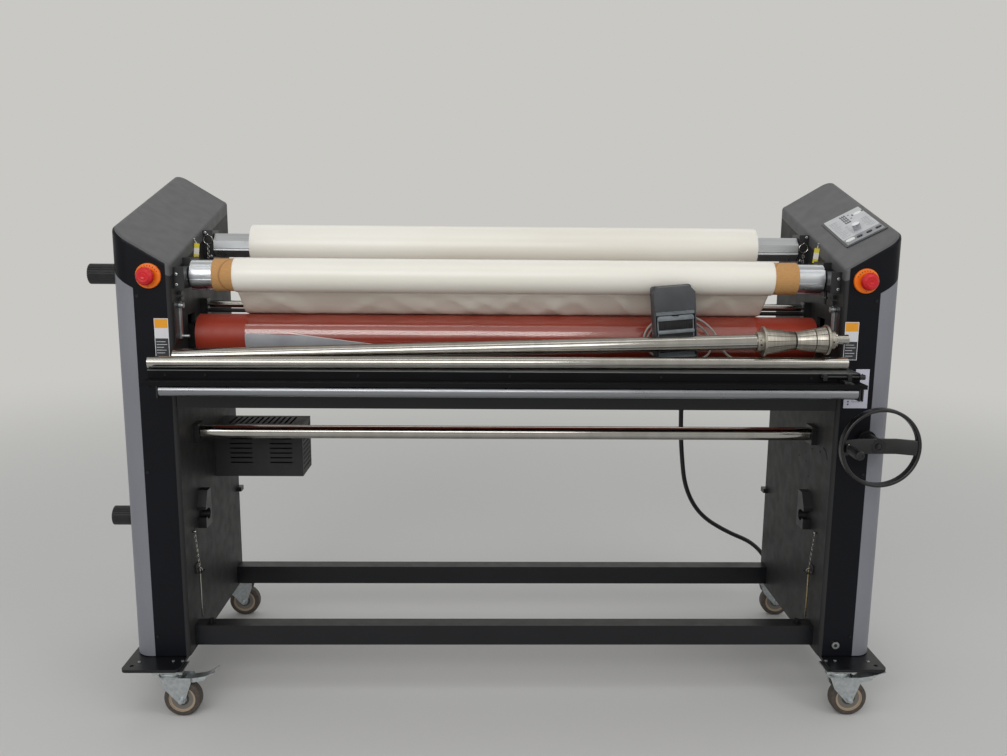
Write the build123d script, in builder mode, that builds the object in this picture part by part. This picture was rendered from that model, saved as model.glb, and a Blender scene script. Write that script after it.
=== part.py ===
"""Wide format roll laminator: two sloping cabinets joined by beams, with heated and pull rollers,
film supply shafts, a feed table, casters, and the loose shafts and foot switch kept on the table.

Sizes are in millimetres. The drawing frame has X = 0 midway between the cabinets, Y = 0 on the
cabinets' front faces with +Y to the back, and Z = 0 on the floor. Every piece is moved once, when
it is written, so that the part's origin is on the floor under the middle of its outer box.
"""
from build123d import *
from math import cos, pi, radians, sin, sqrt, tan
import os

# Frame and cabinets
inner_gap = 1675.0              # clear width between the two side plates
cabinet_width = 147.5           # side plate's inner face to the outer cover
cabinet_depth = 537.0
roof_front_inner = 1172.0       # height of the sloping top at its inner front corner
roof_side_rise = 87.5           # rise of the top across the cabinet
roof_back_rise = 159.5          # rise of the top from front to back
plate_thick = 10.0
sheet = 3.0                     # cover sheet
inner_corner = 10.0             # bend radius at the side plate's upright edges
outer_front_corner = 45.0
outer_rear_corner = 30.0
roof_edge_radius = 9.0
cover_lift = 2.0                # covers start this far above the side plates' foot
cover_line_drop = 111.0         # top of the outer cover, straight down from the roof
inner_skirt = 30.0              # roof cover's depth down the inner side
front_joint_inset = 57.0        # edge of the outer cover, in from its outer face, on the front
rear_joint_inset = 29.5         # the same on the back
seam = 0.5                      # gap between neighbouring covers

# Base
foot_inner = 7.5                # foot plate's inner edge, outside the side plate's inner face
foot_outer = 9.0                # foot plate's overhang outside the cover
foot_front = 73.0               # overhang in front
foot_back = 73.0                # overhang behind
foot_thick = 8.0
foot_corner = 14.0
foot_hole_radius = 5.5
foot_hole_inset = 22.0
beam_depth = 44.0
beam_height = 55.0
beam_wall = 3.0
beam_lift = 11.0                # stretcher beams, above the side plates' foot
front_beam_y = 46.0
rear_beam_inset = 71.0          # front of the rear beam, in from the back wall
tie_depth = 40.0
tie_height = 60.0
tie_bottom = 770.0
tie_inset = 47.0                # front of the tie beam, in from the back wall

# Casters
wheel_radius = 48.0
wheel_width = 30.0
caster_trail = 30.0
caster_x = 38.5                 # swivel axis outside the side plate's inner face
caster_overhang = 40.0          # swivel axes in front of and behind the cabinets
caster_stack = 44.0             # wheel's top to the side plates' foot
axle_radius = 5.0
race_radius = 27.0
caster_plate_thick = 4.0
fork_wall = 3.0

# Rollers
nip_height = 926.0              # where the two laminating rollers meet
nip_y = 150.0
nip_gap = 0.5
nip_travel = 25.0
roller_radius = 55.0
roller_side_gap = 22.5          # roller's face to the side plate
pull_radius = 40.0
pull_inset = 97.0               # pull rollers' axis, in from the back wall
journal_radius = 15.0
running = 0.08                  # radial clearance of a shaft in its bearing
gap = 0.5                       # clearance between pieces that move past each other
carriage_width = 56.0
carriage_height = 60.0
bearing_ring_radius = 30.0
bearing_ring_thick = 6.0

# Film supply
supply_y = 92.0
supply_z = 1143.0
supply_radius = 37.0
bracket_thick = 27.0            # blocks that hold the supply shafts
bracket_clear = 2.5
film_build = 2.4                # film left on the front core
film_margins = (126.5, 146.5)   # side plates to the front film, left and right
core_clear = 1.1
core_wall = 3.5
core_margins = (73.5, 83.5)
web_lead = 26.4                 # where the film leaves the front roll, behind its axis
rear_supply_y = 308.0
rear_supply_z = 1211.0
rear_supply_radius = 35.0
rear_film_radius = 58.0
rear_film_margins = (132.5, 148.5)
stub_radius = 12.0              # supply shafts' journals
film_thick = 0.6

# Idlers and lower shaft
idler_y = 240.0
idler_z = 1054.0
idler_radius = 9.75
idler_bracket_thick = 20.5
idler_clear = 4.0
idler_stub = 5.0
guide_bar_radius = 5.5
guide_bar_drop = 17.0
lower_shaft_y = 140.0
lower_shaft_z = 720.0
lower_shaft_radius = 18.0
lower_bracket_thick = 15.0
lower_clear = 0.5
lower_stub = 8.0
saddle_y = 140.0
saddle_z = 490.0
saddle_radius = 15.2            # seat for the lower supply shaft's journal
saddle_thick = 24.0
saddle_width = 50.0
saddle_top = 556.0
saddle_bottom = 456.0

# Feed table
table_top = 928.0
table_sheet = 3.0
table_over_left = 29.5          # table's ends, past the side plates' inner faces
table_over_right = 12.5
table_front = -102.0
table_rear = 105.0
ledge_front = -150.0
ledge_top = 907.0
table_idler_y = -136.0
table_idler_z = 885.0
table_idler_radius = 14.0
table_idler_gaps = (10.5, 7.5)  # side plates' inner faces to the idler's ends
box_front = 4.0
box_depth = 60.0
box_bottom = 813.0
box_top = 903.0
edge_strip = 6.0
rib_inset = 137.5               # outermost ribs under the table, in from the side plates

# Controls
stop_x = 51.0                   # emergency stop, outside the side plate's inner face
stop_z = 1145.0
stop_collar_radius = 31.0
stop_head_radius = 22.0
stop_collar_thick = 7.0
stop_neck_radius = 14.0
stop_head_thick = 16.0
stop_travel = 5.0
panel_width = 112.0             # control panel across the roof
panel_length = 204.0            # and along it
panel_inset_x = 62.5            # panel's middle, in from the outer cover
panel_centre_y = 188.0
bezel = 6.0
panel_proud = 2.5
button_travel = 1.5
tension_knob_radius = 26.0
tension_knob_length = 78.0
knob_standoff = 5.0
lower_knob_z = 484.0

# Handwheel
handwheel_x = 79.5              # axis outside the side plate's inner face
handwheel_z = 741.0
handwheel_radius = 100.0
handwheel_plane = -95.0
handwheel_dish = 18.0
handwheel_shaft = 10.0
handle_length = 74.0

# Vented drive box
drive_width = 251.0
drive_front = 300.0
drive_back = 425.0
drive_bottom = 549.0
drive_top = 701.0

# Loose things kept on the table
loose_radius = 15.0
spare_radius = 18.5
rest_gap = 0.3
chuck_flange_radius = 37.5
chuck_waist_radius = 21.0
chuck_length = 150.0
chuck_offset = 6.82881         # chuck's axis behind the front shaft's, where it rests
spare_past_chuck = 177.0        # rear shaft's bar, past the chuck's first flange
switch_x = 425.0
switch_width = 104.0
switch_height = 196.0
switch_depth = 54.0
switch_back_gap = 4.0           # foot switch's back to the front film roll
switch_lean = 5.0

# Small levers and pins
link_y = 50.0
link_z = 1068.0
latch_length = 93.0
latch_inset = 5.0               # pin's right end, in from the table's end
latch_y = -109.0
latch_z = 920.0
latch_radius = 3.5
hook_shelf_z = 345.0

# Control panel's knob and buttons, from the panel's middle: x, y, length, width
speed_knob_radius = 10.0
speed_knob_place = (0.0, -32.0)
button_places = ((-35.0, -74.0, 24.0, 15.0), (-11.0, -77.0, 15.0, 8.0), (15.0, -77.0, 15.0, 8.0),
                 (40.0, -77.0, 15.0, 8.0))

# Screws and bolts
screw_inset = 65.5              # front panel screws, in from the outer cover
screw_heights = (1095.0, 645.0, 197.0)
foot_bolt_lift = 34.0           # above the side plates' foot
foot_bolt_x = 43.0
beam_bolt_inset = 39.5          # stretcher beams' bolts, in from the side plates
face_screw_inset = 120.0        # outermost screws on the table's front, in from its right end
left_screw_inset = 42.0         # extra screw near the table's left end
face_screw_z = 916.0

# Cords
mains_radius = 7.0
mains_exit_x = 552.0
gland_radius = 12.0
gland_length = 22.0
switch_cord_radius = 2.75
switch_gland_length = 8.5
switch_gland_y = 60.0
switch_gland_z = 940.0
plug_length = 44.0
plug_width = 30.0

half_gap = inner_gap / 2
outer_face = half_gap + cabinet_width
cabinet_floor = 2 * wheel_radius + caster_stack
front_joint = cabinet_width - front_joint_inset
rear_joint = cabinet_width - rear_joint_inset
beam_bottom = cabinet_floor + beam_lift
rear_beam_y = cabinet_depth - rear_beam_inset
tie_y = cabinet_depth - tie_inset
front_caster_y = -caster_overhang
rear_caster_y = cabinet_depth + caster_overhang
roller_half_face = half_gap - roller_side_gap
pull_y = cabinet_depth - pull_inset
supply_end = half_gap - bracket_thick - bracket_clear
core_inner_radius = supply_radius + core_clear
core_outer_radius = core_inner_radius + core_wall
film_radius = core_outer_radius + film_build
film_left, film_right = film_margins[0] - half_gap, half_gap - film_margins[1]
core_left, core_right = core_margins[0] - half_gap, half_gap - core_margins[1]
rear_film_left, rear_film_right = rear_film_margins[0] - half_gap, half_gap - rear_film_margins[1]
idler_end = half_gap - idler_bracket_thick - idler_clear
lower_shaft_end = half_gap - lower_bracket_thick - lower_clear
table_left, table_right = -half_gap - table_over_left, half_gap + table_over_right
table_idler_left, table_idler_right = table_idler_gaps[0] - half_gap, half_gap - table_idler_gaps[1]
latch_right = table_right - latch_inset
latch_left = latch_right - latch_length
panel_centre_x = cabinet_width - panel_inset_x
screw_x = cabinet_width - screw_inset
beam_bolt_x = half_gap - beam_bolt_inset
rib_step = (half_gap - rib_inset) / 2
face_screw_step = (table_right - face_screw_inset) / 2
switch_gland_x = half_gap - switch_gland_length
switch_front = supply_y - film_radius - switch_back_gap - switch_depth
top_axis_z = nip_height + roller_radius + nip_gap / 2
bottom_axis_z = nip_height - roller_radius - nip_gap / 2
pull_top_z = nip_height + pull_radius + nip_gap / 2
pull_bottom_z = nip_height - pull_radius - nip_gap / 2

# Ends of the loose shafts. The front one lies on the table; the rear one rests its left end on the
# table and its chuck's flange on the front shaft.
loose_height = table_top + rest_gap + loose_radius
loose_start = (table_left - 2, -86.0, loose_height)
loose_end = (table_right - 11, -40.0, loose_height)
spare_start = Vector(table_left + 35, -12.0, table_top + rest_gap + spare_radius)
rest_x = table_right - 220
rest_share = (rest_x - loose_start[0]) / (loose_end[0] - loose_start[0])
rest_y = loose_start[1] + rest_share * (loose_end[1] - loose_start[1]) + chuck_offset
chuck_rest = Vector(rest_x, rest_y, loose_height + loose_radius + 2 * rest_gap + chuck_flange_radius)
spare_axis = (chuck_rest - spare_start).normalized()
chuck_start = (chuck_rest - spare_start).length
spare_length = chuck_start + spare_past_chuck

# Outer box, which places the origin
box_left = -(outer_face + knob_standoff + tension_knob_length)
box_right = half_gap + handwheel_x + handwheel_radius
box_near = handwheel_plane - 9 - handle_length
box_far = cabinet_depth + foot_back
to_origin = Location((-(box_left + box_right) / 2, -(box_near + box_far) / 2, 0))

os.makedirs("parts", exist_ok=True)


def save(piece, label):
    """Set a finished piece on the part's origin, name it and write its file."""
    piece.part.move(to_origin)
    piece.part.label = label
    export_step(piece.part, f"parts/{label}.step")


def wall(outline, y_start, y_end, mode=Mode.ADD):
    """Flat shape with corners given as (x, z), reaching from one Y to another."""
    with BuildSketch(Plane.XZ.offset(-y_start)) as shape:
        with BuildLine():
            Polyline(*outline, close=True)
        make_face()
    extrude(shape.sketch, amount=y_start - y_end, mode=mode)


def block(low, high, mode=Mode.ADD):
    """Box between two opposite corners."""
    spans = [sorted(pair) for pair in zip(low, high)]
    with Locations(tuple((start + end) / 2 for start, end in spans)):
        Box(*[end - start for start, end in spans], mode=mode)


def rod(start, end, radius, mode=Mode.ADD):
    """Round bar between two points on its axis."""
    axis = Vector(*end) - Vector(*start)
    with Locations(Plane(origin=start, z_dir=axis)):
        Cylinder(radius, axis.length, align=(Align.CENTER, Align.CENTER, Align.MIN), mode=mode)


def slab(outline, x_start, x_end, mode=Mode.ADD):
    """Flat shape with corners given as (y, z), reaching from one X to another."""
    with BuildSketch(Plane.YZ.offset(x_start)) as shape:
        with BuildLine():
            Polyline(*outline, close=True)
        make_face()
    extrude(shape.sketch, amount=x_end - x_start, mode=mode)


def hollow_beam(low, high, wall):
    """Square tube along X between two corners."""
    block(low, high)
    block((low[0] - 1, low[1] + wall, low[2] + wall), (high[0] + 1, high[1] - wall, high[2] - wall),
          mode=Mode.SUBTRACT)


def roof_plane(side, drop=0.0, inset=0.0):
    """Plane of a cabinet's sloping top, lowered by drop or moved in square to itself by inset."""
    lean_x = side * roof_side_rise / cabinet_width
    lean_y = roof_back_rise / cabinet_depth
    corner = (side * half_gap, 0, roof_front_inner - drop)
    return Plane(origin=corner, z_dir=(-lean_x, -lean_y, 1)).offset(-inset)


def roof_height(x, y):
    """Height of the sloping top above the floor at a place on either cabinet."""
    return (roof_front_inner + (abs(x) - half_gap) * roof_side_rise / cabinet_width
            + y * roof_back_rise / cabinet_depth)


def cabinet_block(side, inset=0.0):
    """Outside shape of a cabinet, or the same shape with every wall moved in by inset."""
    inner_x = half_gap + inset
    outer_x = outer_face - inset
    inner_end, outer_end = (0, -1) if side > 0 else (-1, 0)
    with BuildPart() as body:
        with BuildSketch(Plane.XY.offset(cabinet_floor - inset)) as footprint:
            with Locations((side * (inner_x + outer_x) / 2, cabinet_depth / 2)):
                Rectangle(outer_x - inner_x, cabinet_depth - 2 * inset)
            fillet(footprint.vertices().group_by(Axis.X)[inner_end], inner_corner - inset)
            front = footprint.vertices().group_by(Axis.X)[outer_end].sort_by(Axis.Y)[0]
            fillet(front, outer_front_corner - inset)
            rear = footprint.vertices().group_by(Axis.X)[outer_end].sort_by(Axis.Y)[-1]
            fillet(rear, outer_rear_corner - inset)
        extrude(amount=2 * roof_front_inner)
        split(bisect_by=roof_plane(side, inset=inset), keep=Keep.BOTTOM)
        roof = body.faces().sort_by(Axis.Z)[-1]
        fillet(roof.edges(), roof_edge_radius - inset)
    return body.part


def cabinet_skin(side):
    """Sheet of the given thickness all round a cabinet and over its top, open below."""
    with BuildPart() as skin:
        add(cabinet_block(side))
        add(cabinet_block(side, sheet), mode=Mode.SUBTRACT)
    return skin.part


def zone(side, near_x, far_x, near_y, far_y, drop=0.0, inset=0.0):
    """Upright block under a cabinet's roof plane. X is counted outwards from the side plate."""
    with BuildPart() as region:
        block((side * (half_gap + near_x), near_y, 0),
              (side * (half_gap + far_x), far_y, 2 * roof_front_inner))
        split(bisect_by=roof_plane(side, drop=drop, inset=inset), keep=Keep.BOTTOM)
    return region.part


def front_zone(side, clear=0.0):
    """Where the front panel lies: the front wall and the rounded outer front corner."""
    return zone(side, plate_thick + clear, cabinet_width + 5, -5, outer_front_corner - clear,
                inset=sheet + clear)


def cover_zone(side, clear=0.0):
    """Where the outer cover lies: outer wall, both outer corners, below the cover line."""
    with BuildPart() as region:
        add(zone(side, front_joint + clear, cabinet_width + 5, -5, cabinet_depth / 2,
                 drop=cover_line_drop + clear))
        add(zone(side, rear_joint + clear, cabinet_width + 5, cabinet_depth / 2 - 1, cabinet_depth + 5,
                 drop=cover_line_drop + clear))
    return region.part


def foot_cut():
    """Cuts the covers off a little above the foot plates."""
    reach = outer_face + 50
    block((-reach, -50, 0), (reach, cabinet_depth + 50, cabinet_floor + cover_lift), mode=Mode.SUBTRACT)


def front_panel(side, skin):
    """Dark front wall of one cabinet, running round the outer corner above the outer cover."""
    with BuildPart() as panel:
        add(skin)
        add(front_zone(side, seam / 2), mode=Mode.INTERSECT)
        add(cover_zone(side), mode=Mode.SUBTRACT)
        foot_cut()
        if side > 0:
            axis_x = half_gap + handwheel_x
            rod((axis_x, -1, handwheel_z), (axis_x, sheet + 1, handwheel_z), handwheel_shaft + gap,
                mode=Mode.SUBTRACT)
    return panel.part


def side_cover(side, skin):
    """Silver outer cover with its rounded front and rear corners."""
    with BuildPart() as cover:
        add(skin)
        add(cover_zone(side, seam), mode=Mode.INTERSECT)
        foot_cut()
        if side < 0:
            for y, z in ((supply_y, supply_z), (saddle_y, lower_knob_z)):
                rod((-outer_face - 5, y, z), (-outer_face + 5, y, z), handwheel_shaft + gap,
                    mode=Mode.SUBTRACT)
    return cover.part


def top_cover(side, skin):
    """Sloping roof with its rounded edges, a short skirt inside, and the back wall."""
    with BuildPart() as cover:
        add(skin)
        add(front_zone(side), mode=Mode.SUBTRACT)
        add(cover_zone(side), mode=Mode.SUBTRACT)
        add(zone(side, -5, plate_thick, -5, cabinet_depth + 5, drop=inner_skirt), mode=Mode.SUBTRACT)
        foot_cut()
    return cover.part


def make_covers():
    """Fronts, outer covers and roofs of both cabinets."""
    skins = {side: cabinet_skin(side) for side in (-1, 1)}
    for label, shape in (("front_panels", front_panel), ("side_covers", side_cover),
                         ("top_covers", top_cover)):
        with BuildPart() as both:
            for side, skin in skins.items():
                add(shape(side, skin))
        save(both, label)


def side_plate(side):
    """Thick inner wall of a cabinet, bored for every shaft that the frame carries."""
    inside = side * (half_gap - 1)
    outside = side * (half_gap + plate_thick + 1)
    with BuildPart() as plate:
        add(cabinet_block(side))
        add(zone(side, -5, plate_thick, -5, cabinet_depth + 5, drop=inner_skirt + seam), mode=Mode.INTERSECT)
        for y, z in ((nip_y, bottom_axis_z), (pull_y, pull_top_z), (pull_y, pull_bottom_z)):
            rod((inside, y, z), (outside, y, z), journal_radius + running, mode=Mode.SUBTRACT)
        half_slot = carriage_width / 2 + gap
        slot_low = top_axis_z - carriage_height / 2 - gap
        slot_high = top_axis_z + carriage_height / 2 + nip_travel + gap
        block((inside, nip_y - half_slot, slot_low), (outside, nip_y + half_slot, slot_high),
              mode=Mode.SUBTRACT)
        if side < 0:
            for y, z in ((supply_y, supply_z), (saddle_y, lower_knob_z)):
                rod((inside, y, z), (outside, y, z), handwheel_shaft + running, mode=Mode.SUBTRACT)
    return plate.part


def make_side_plates():
    """The two thick walls that carry every roller and shaft between them."""
    with BuildPart() as side_plates:
        for side in (-1, 1):
            add(side_plate(side))
    save(side_plates, "side_plates")


def make_base_frame():
    """Foot plates, the two stretcher beams near the floor, and the tie beam high at the back."""
    length = cabinet_depth + foot_front + foot_back
    width = cabinet_width - foot_inner + foot_outer
    middle_y = (cabinet_depth + foot_back - foot_front) / 2
    with BuildPart() as base_frame:
        for side in (-1, 1):
            outer_x = side * (outer_face + foot_outer)
            with BuildSketch(Plane.XY.offset(cabinet_floor - foot_thick)):
                with Locations((outer_x - side * width / 2, middle_y)):
                    RectangleRounded(width, length, foot_corner)
                with Locations((outer_x - side * foot_hole_inset, middle_y)):
                    with GridLocations(1, length - 2 * foot_hole_inset, 1, 2):
                        Circle(foot_hole_radius, mode=Mode.SUBTRACT)
            extrude(amount=foot_thick)
        for y in (front_beam_y, rear_beam_y):
            hollow_beam((-half_gap, y, beam_bottom), (half_gap, y + beam_depth, beam_bottom + beam_height),
                        beam_wall)
        hollow_beam((-half_gap, tie_y, tie_bottom), (half_gap, tie_y + tie_depth, tie_bottom + tie_height),
                    beam_wall)
        gland = (mains_exit_x, tie_y + tie_depth / 2, tie_bottom)
        rod(gland, (gland[0], gland[1], tie_bottom - gland_length), gland_radius)
    save(base_frame, "base_frame")


def make_feed_table():
    """Table sheet in front of and between the cabinets, its front face, low ledge and ends."""
    with BuildPart() as feed_table:
        sheet_low = table_top - table_sheet
        block((table_left, table_front, sheet_low), (table_right, -gap, table_top))
        block((-half_gap + gap, -gap, sheet_low), (half_gap - gap, table_rear, table_top))
        slab([(table_front, sheet_low), (table_front, ledge_top), (ledge_front, ledge_top),
              (ledge_front, ledge_top - 10), (ledge_front + table_sheet, ledge_top - 10),
              (ledge_front + table_sheet, ledge_top - table_sheet),
              (table_front + table_sheet, ledge_top - table_sheet), (table_front + table_sheet, sheet_low)],
             table_left, table_right)
        for x in (table_left, table_right - table_sheet):
            slab([(table_front + table_sheet, sheet_low), (-gap, sheet_low), (-gap, ledge_top - 22),
                  (table_front + table_sheet, ledge_top - 22)], x, x + table_sheet)
        block((table_left, table_front - 1, table_top - 1.5),
              (table_right, table_front + edge_strip, table_top))
    save(feed_table, "feed_table")


def make_table_beam():
    """Dark box beam under the table, with ribs that carry the table sheet in front of it."""
    with BuildPart() as table_beam:
        hollow_beam((-half_gap, box_front, box_bottom), (half_gap, box_front + box_depth, box_top), sheet)
        sheet_low = table_top - table_sheet
        for place in (-2, -1, 0, 1, 2):
            x = place * rib_step
            slab([(table_front + 2 * table_sheet, sheet_low), (box_front + box_depth, sheet_low),
                  (box_front + box_depth, box_top), (box_front, box_top), (table_front + 20, ledge_top + 4)],
                 x - 3, x + 3)
    save(table_beam, "table_beam")


def seat_block(side, thick, y_low, y_high, z_low, z_high):
    """Black block bolted to a side plate's inner face."""
    block((side * (half_gap - thick), y_low, z_low), (side * half_gap, y_high, z_high))


def make_shaft_brackets():
    """Black blocks on the side plates that hold the supply shafts, idlers and lower shaft."""
    with BuildPart() as shaft_brackets:
        for side in (-1, 1):
            inner = side * (half_gap - bracket_thick - 1)
            outer = side * half_gap
            seat_block(side, bracket_thick, 25, 128, supply_z - 31, supply_z + 22)
            seat_block(side, bracket_thick - 6, 100, 172, supply_z + 22, supply_z + 42)
            rod((inner, supply_y, supply_z), (outer, supply_y, supply_z), stub_radius + running,
                mode=Mode.SUBTRACT)
            seat_block(side, bracket_thick, rear_supply_y - 28, rear_supply_y + 30, rear_supply_z - 38,
                       rear_supply_z + 41)
            rod((inner, rear_supply_y, rear_supply_z), (outer, rear_supply_y, rear_supply_z),
                stub_radius + running, mode=Mode.SUBTRACT)
            seat_block(side, idler_bracket_thick, idler_y - 15, idler_y + 15, idler_z - 32, idler_z + 16)
            rod((side * (idler_end + 2), idler_y, idler_z), (outer, idler_y, idler_z),
                idler_stub + running, mode=Mode.SUBTRACT)
            seat_block(side, lower_bracket_thick, lower_shaft_y - 24, lower_shaft_y + 24,
                       lower_shaft_z - 26, lower_shaft_z + 24)
            rod((side * (lower_shaft_end - 1), lower_shaft_y, lower_shaft_z),
                (outer, lower_shaft_y, lower_shaft_z), lower_stub + running, mode=Mode.SUBTRACT)
            for y, z, size in ((62, 1098, 9), (62, 1084, 9), (cabinet_depth - 22, 447, 14)):
                seat_block(side, size, y - size, y + size, z - size / 2, z + size / 2)
            seat_block(side, 3, 14, 46, 975, 1078)
            for y, z in ((nip_y, bottom_axis_z), (pull_y, pull_top_z), (pull_y, pull_bottom_z)):
                rod((side * (half_gap - bearing_ring_thick), y, z), (outer, y, z), bearing_ring_radius)
                rod((side * (half_gap - bearing_ring_thick - 1), y, z), (outer, y, z),
                    journal_radius + gap, mode=Mode.SUBTRACT)
            seat_block(side, 3, 72, 100, hook_shelf_z - 2, hook_shelf_z + 22)
            seat_block(side, 20, 72, 100, hook_shelf_z - 2, hook_shelf_z)
        for end in (table_idler_left - 4, table_idler_right + 4):
            block((end - 2, ledge_front + table_sheet, table_idler_z - 17),
                  (end + 2, ledge_front + 28, ledge_top - table_sheet))
            rod((end - 3, table_idler_y, table_idler_z), (end + 3, table_idler_y, table_idler_z),
                idler_stub + running, mode=Mode.SUBTRACT)
        for x in (latch_left + 8, latch_right - 25):
            block((x - 5, table_front - 14, latch_z - 8), (x + 5, table_front, latch_z + 6))
            rod((x - 6, latch_y, latch_z), (x + 6, latch_y, latch_z), latch_radius + running,
                mode=Mode.SUBTRACT)
        rod((half_gap, switch_gland_y, switch_gland_z), (switch_gland_x, switch_gland_y, switch_gland_z), 6)
        bar_end = idler_end + idler_clear
        rod((-bar_end, idler_y, idler_z - guide_bar_drop), (bar_end, idler_y, idler_z - guide_bar_drop),
            guide_bar_radius)
    save(shaft_brackets, "shaft_brackets")


def make_lower_saddles():
    """Open saddles low on the side plates for a second supply shaft."""
    with BuildPart() as lower_saddles:
        for side in (-1, 1):
            slab([(saddle_y - saddle_width / 2, saddle_bottom), (saddle_y + saddle_width / 2, saddle_bottom),
                  (saddle_y + saddle_width / 2, saddle_top), (saddle_y - 4, saddle_top),
                  (saddle_y - saddle_width / 2, saddle_z + 26)],
                 side * half_gap, side * (half_gap - saddle_thick))
            rod((side * half_gap, saddle_y, saddle_z),
                (side * (half_gap - saddle_thick - 1), saddle_y, saddle_z), saddle_radius, mode=Mode.SUBTRACT)
            mouth = saddle_radius * 0.75
            block((side * (half_gap + 1), saddle_y - saddle_width, saddle_z - mouth + 6),
                  (side * (half_gap - saddle_thick - 1), saddle_y, saddle_z + mouth + 6), mode=Mode.SUBTRACT)
    save(lower_saddles, "lower_saddles")


def make_drive_box():
    """Vented box on the left side plate, with louvres in front and slots on its top and inner end."""
    left, right = -half_gap, -half_gap + drive_width
    with BuildPart() as drive_box:
        block((left, drive_front, drive_bottom), (right, drive_back, drive_top))
        block((left - 1, drive_front + 2, drive_bottom + 2), (right - 2, drive_back - 2, drive_top - 2),
              mode=Mode.SUBTRACT)
        middle_z = (drive_bottom + drive_top) / 2
        with BuildSketch(Plane.XZ.offset(-drive_front + 1)) as louvres:
            for x in (left + 75, right - 62):
                with Locations((x, middle_z)):
                    with GridLocations(1, 14, 1, 6):
                        SlotOverall(64, 4)
        extrude(louvres.sketch, amount=-5, mode=Mode.SUBTRACT)
        with BuildSketch(Plane.YZ.offset(right - 4)) as vents:
            with Locations(((drive_front + drive_back) / 2, middle_z)):
                with GridLocations(15, 14, 7, 9):
                    Rectangle(8, 8)
        extrude(vents.sketch, amount=5, mode=Mode.SUBTRACT)
        with BuildSketch(Plane.XY.offset(drive_top - 4)) as slots:
            with Locations(((left + right) / 2, (drive_front + drive_back) / 2)):
                with GridLocations(16, 1, 12, 1):
                    SlotOverall(90, 7, rotation=90)
        extrude(slots.sketch, amount=5, mode=Mode.SUBTRACT)
    save(drive_box, "drive_box")


def swivel_x(side):
    """X of a caster's swivel axis."""
    return side * (half_gap + caster_x)


def make_caster(side, axis_y, place, braked):
    """Swivel fork and wheel of one caster, with a brake lever on the front ones."""
    pin_x = swivel_x(side)
    hub_x = pin_x + caster_trail
    race_top = cabinet_floor - foot_thick - caster_plate_thick - rest_gap
    crown_bottom = 2 * wheel_radius + 10
    half_wheel = wheel_width / 2
    cheek_in = half_wheel + 2
    cheek_out = cheek_in + fork_wall
    lever_x = pin_x + 46
    lever_z = crown_bottom - 5
    with BuildPart() as fork:
        rod((pin_x, axis_y, crown_bottom), (pin_x, axis_y, race_top), race_radius)
        for turn in (-1, 1):
            wall([(pin_x - 24, crown_bottom + 4), (pin_x + 56, crown_bottom + 4),
                  (pin_x + 56, lever_z - 6), (hub_x + 11, wheel_radius + 4), (hub_x + 7, wheel_radius - 9),
                  (hub_x - 7, wheel_radius - 9), (pin_x - 12, wheel_radius + 30)],
                 axis_y + turn * cheek_in, axis_y + turn * cheek_out)
        block((pin_x - 24, axis_y - cheek_in, crown_bottom),
              (pin_x + 30, axis_y + cheek_in, crown_bottom + 4))
        rod((hub_x, axis_y - cheek_out, wheel_radius), (hub_x, axis_y + cheek_out, wheel_radius), axle_radius)
        for turn in (-1, 1):
            rod((hub_x, axis_y + turn * cheek_out, wheel_radius),
                (hub_x, axis_y + turn * (cheek_out + 4), wheel_radius), 8)
        if braked:
            rod((lever_x, axis_y - cheek_out, lever_z), (lever_x, axis_y + cheek_out, lever_z), 3)
    save(fork, f"caster_fork_{place}")

    with BuildPart() as wheel:
        rod((hub_x, axis_y - half_wheel, wheel_radius), (hub_x, axis_y + half_wheel, wheel_radius),
            wheel_radius)
        rims = wheel.edges().filter_by(GeomType.CIRCLE)
        fillet(rims, 7)
        for turn in (-1, 1):
            face_y = axis_y + turn * half_wheel
            rod((hub_x, face_y - turn * 3, wheel_radius), (hub_x, face_y + turn, wheel_radius), 33,
                mode=Mode.SUBTRACT)
            rod((hub_x, face_y - turn * 3, wheel_radius), (hub_x, face_y, wheel_radius), 11)
        rod((hub_x, axis_y - half_wheel - 1, wheel_radius), (hub_x, axis_y + half_wheel + 1, wheel_radius),
            axle_radius + running, mode=Mode.SUBTRACT)
    save(wheel, f"caster_wheel_{place}")

    if braked:
        with BuildPart() as lever:
            wall([(lever_x, lever_z), (lever_x, lever_z + 5.5), (lever_x + 46, lever_z + 11),
                  (lever_x + 72, lever_z + 26), (lever_x + 76, lever_z + 22), (lever_x + 50, lever_z + 4),
                  (lever_x + 10, lever_z - 1)], axis_y - 14, axis_y + 14)
            rod((lever_x, axis_y - half_wheel - 1, lever_z), (lever_x, axis_y + half_wheel + 1, lever_z), 5.5)
            rod((lever_x, axis_y - cheek_in, lever_z), (lever_x, axis_y + cheek_in, lever_z), 3 + running,
                mode=Mode.SUBTRACT)
        save(lever, f"caster_brake_{place}")


def make_casters():
    """Four casters, the front two with brakes."""
    for side, across in ((-1, "left"), (1, "right")):
        make_caster(side, front_caster_y, f"front_{across}", True)
        make_caster(side, rear_caster_y, f"rear_{across}", False)


def roller_shape(y, z, radius):
    """Roller with a journal at each end that reaches through the side plates."""
    journal_end = half_gap + plate_thick + 8
    with BuildPart() as roller:
        rod((-roller_half_face, y, z), (roller_half_face, y, z), radius)
        ends = roller.edges().filter_by(GeomType.CIRCLE)
        chamfer(ends, 2)
        rod((-journal_end, y, z), (journal_end, y, z), journal_radius)
    return roller


def make_rollers():
    """The two laminating rollers and the two pull rollers behind them."""
    save(roller_shape(nip_y, top_axis_z, roller_radius), "top_roller")
    save(roller_shape(nip_y, bottom_axis_z, roller_radius), "bottom_roller")
    save(roller_shape(pull_y, pull_top_z, pull_radius), "pull_roller_upper")
    save(roller_shape(pull_y, pull_bottom_z, pull_radius), "pull_roller_lower")


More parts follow.
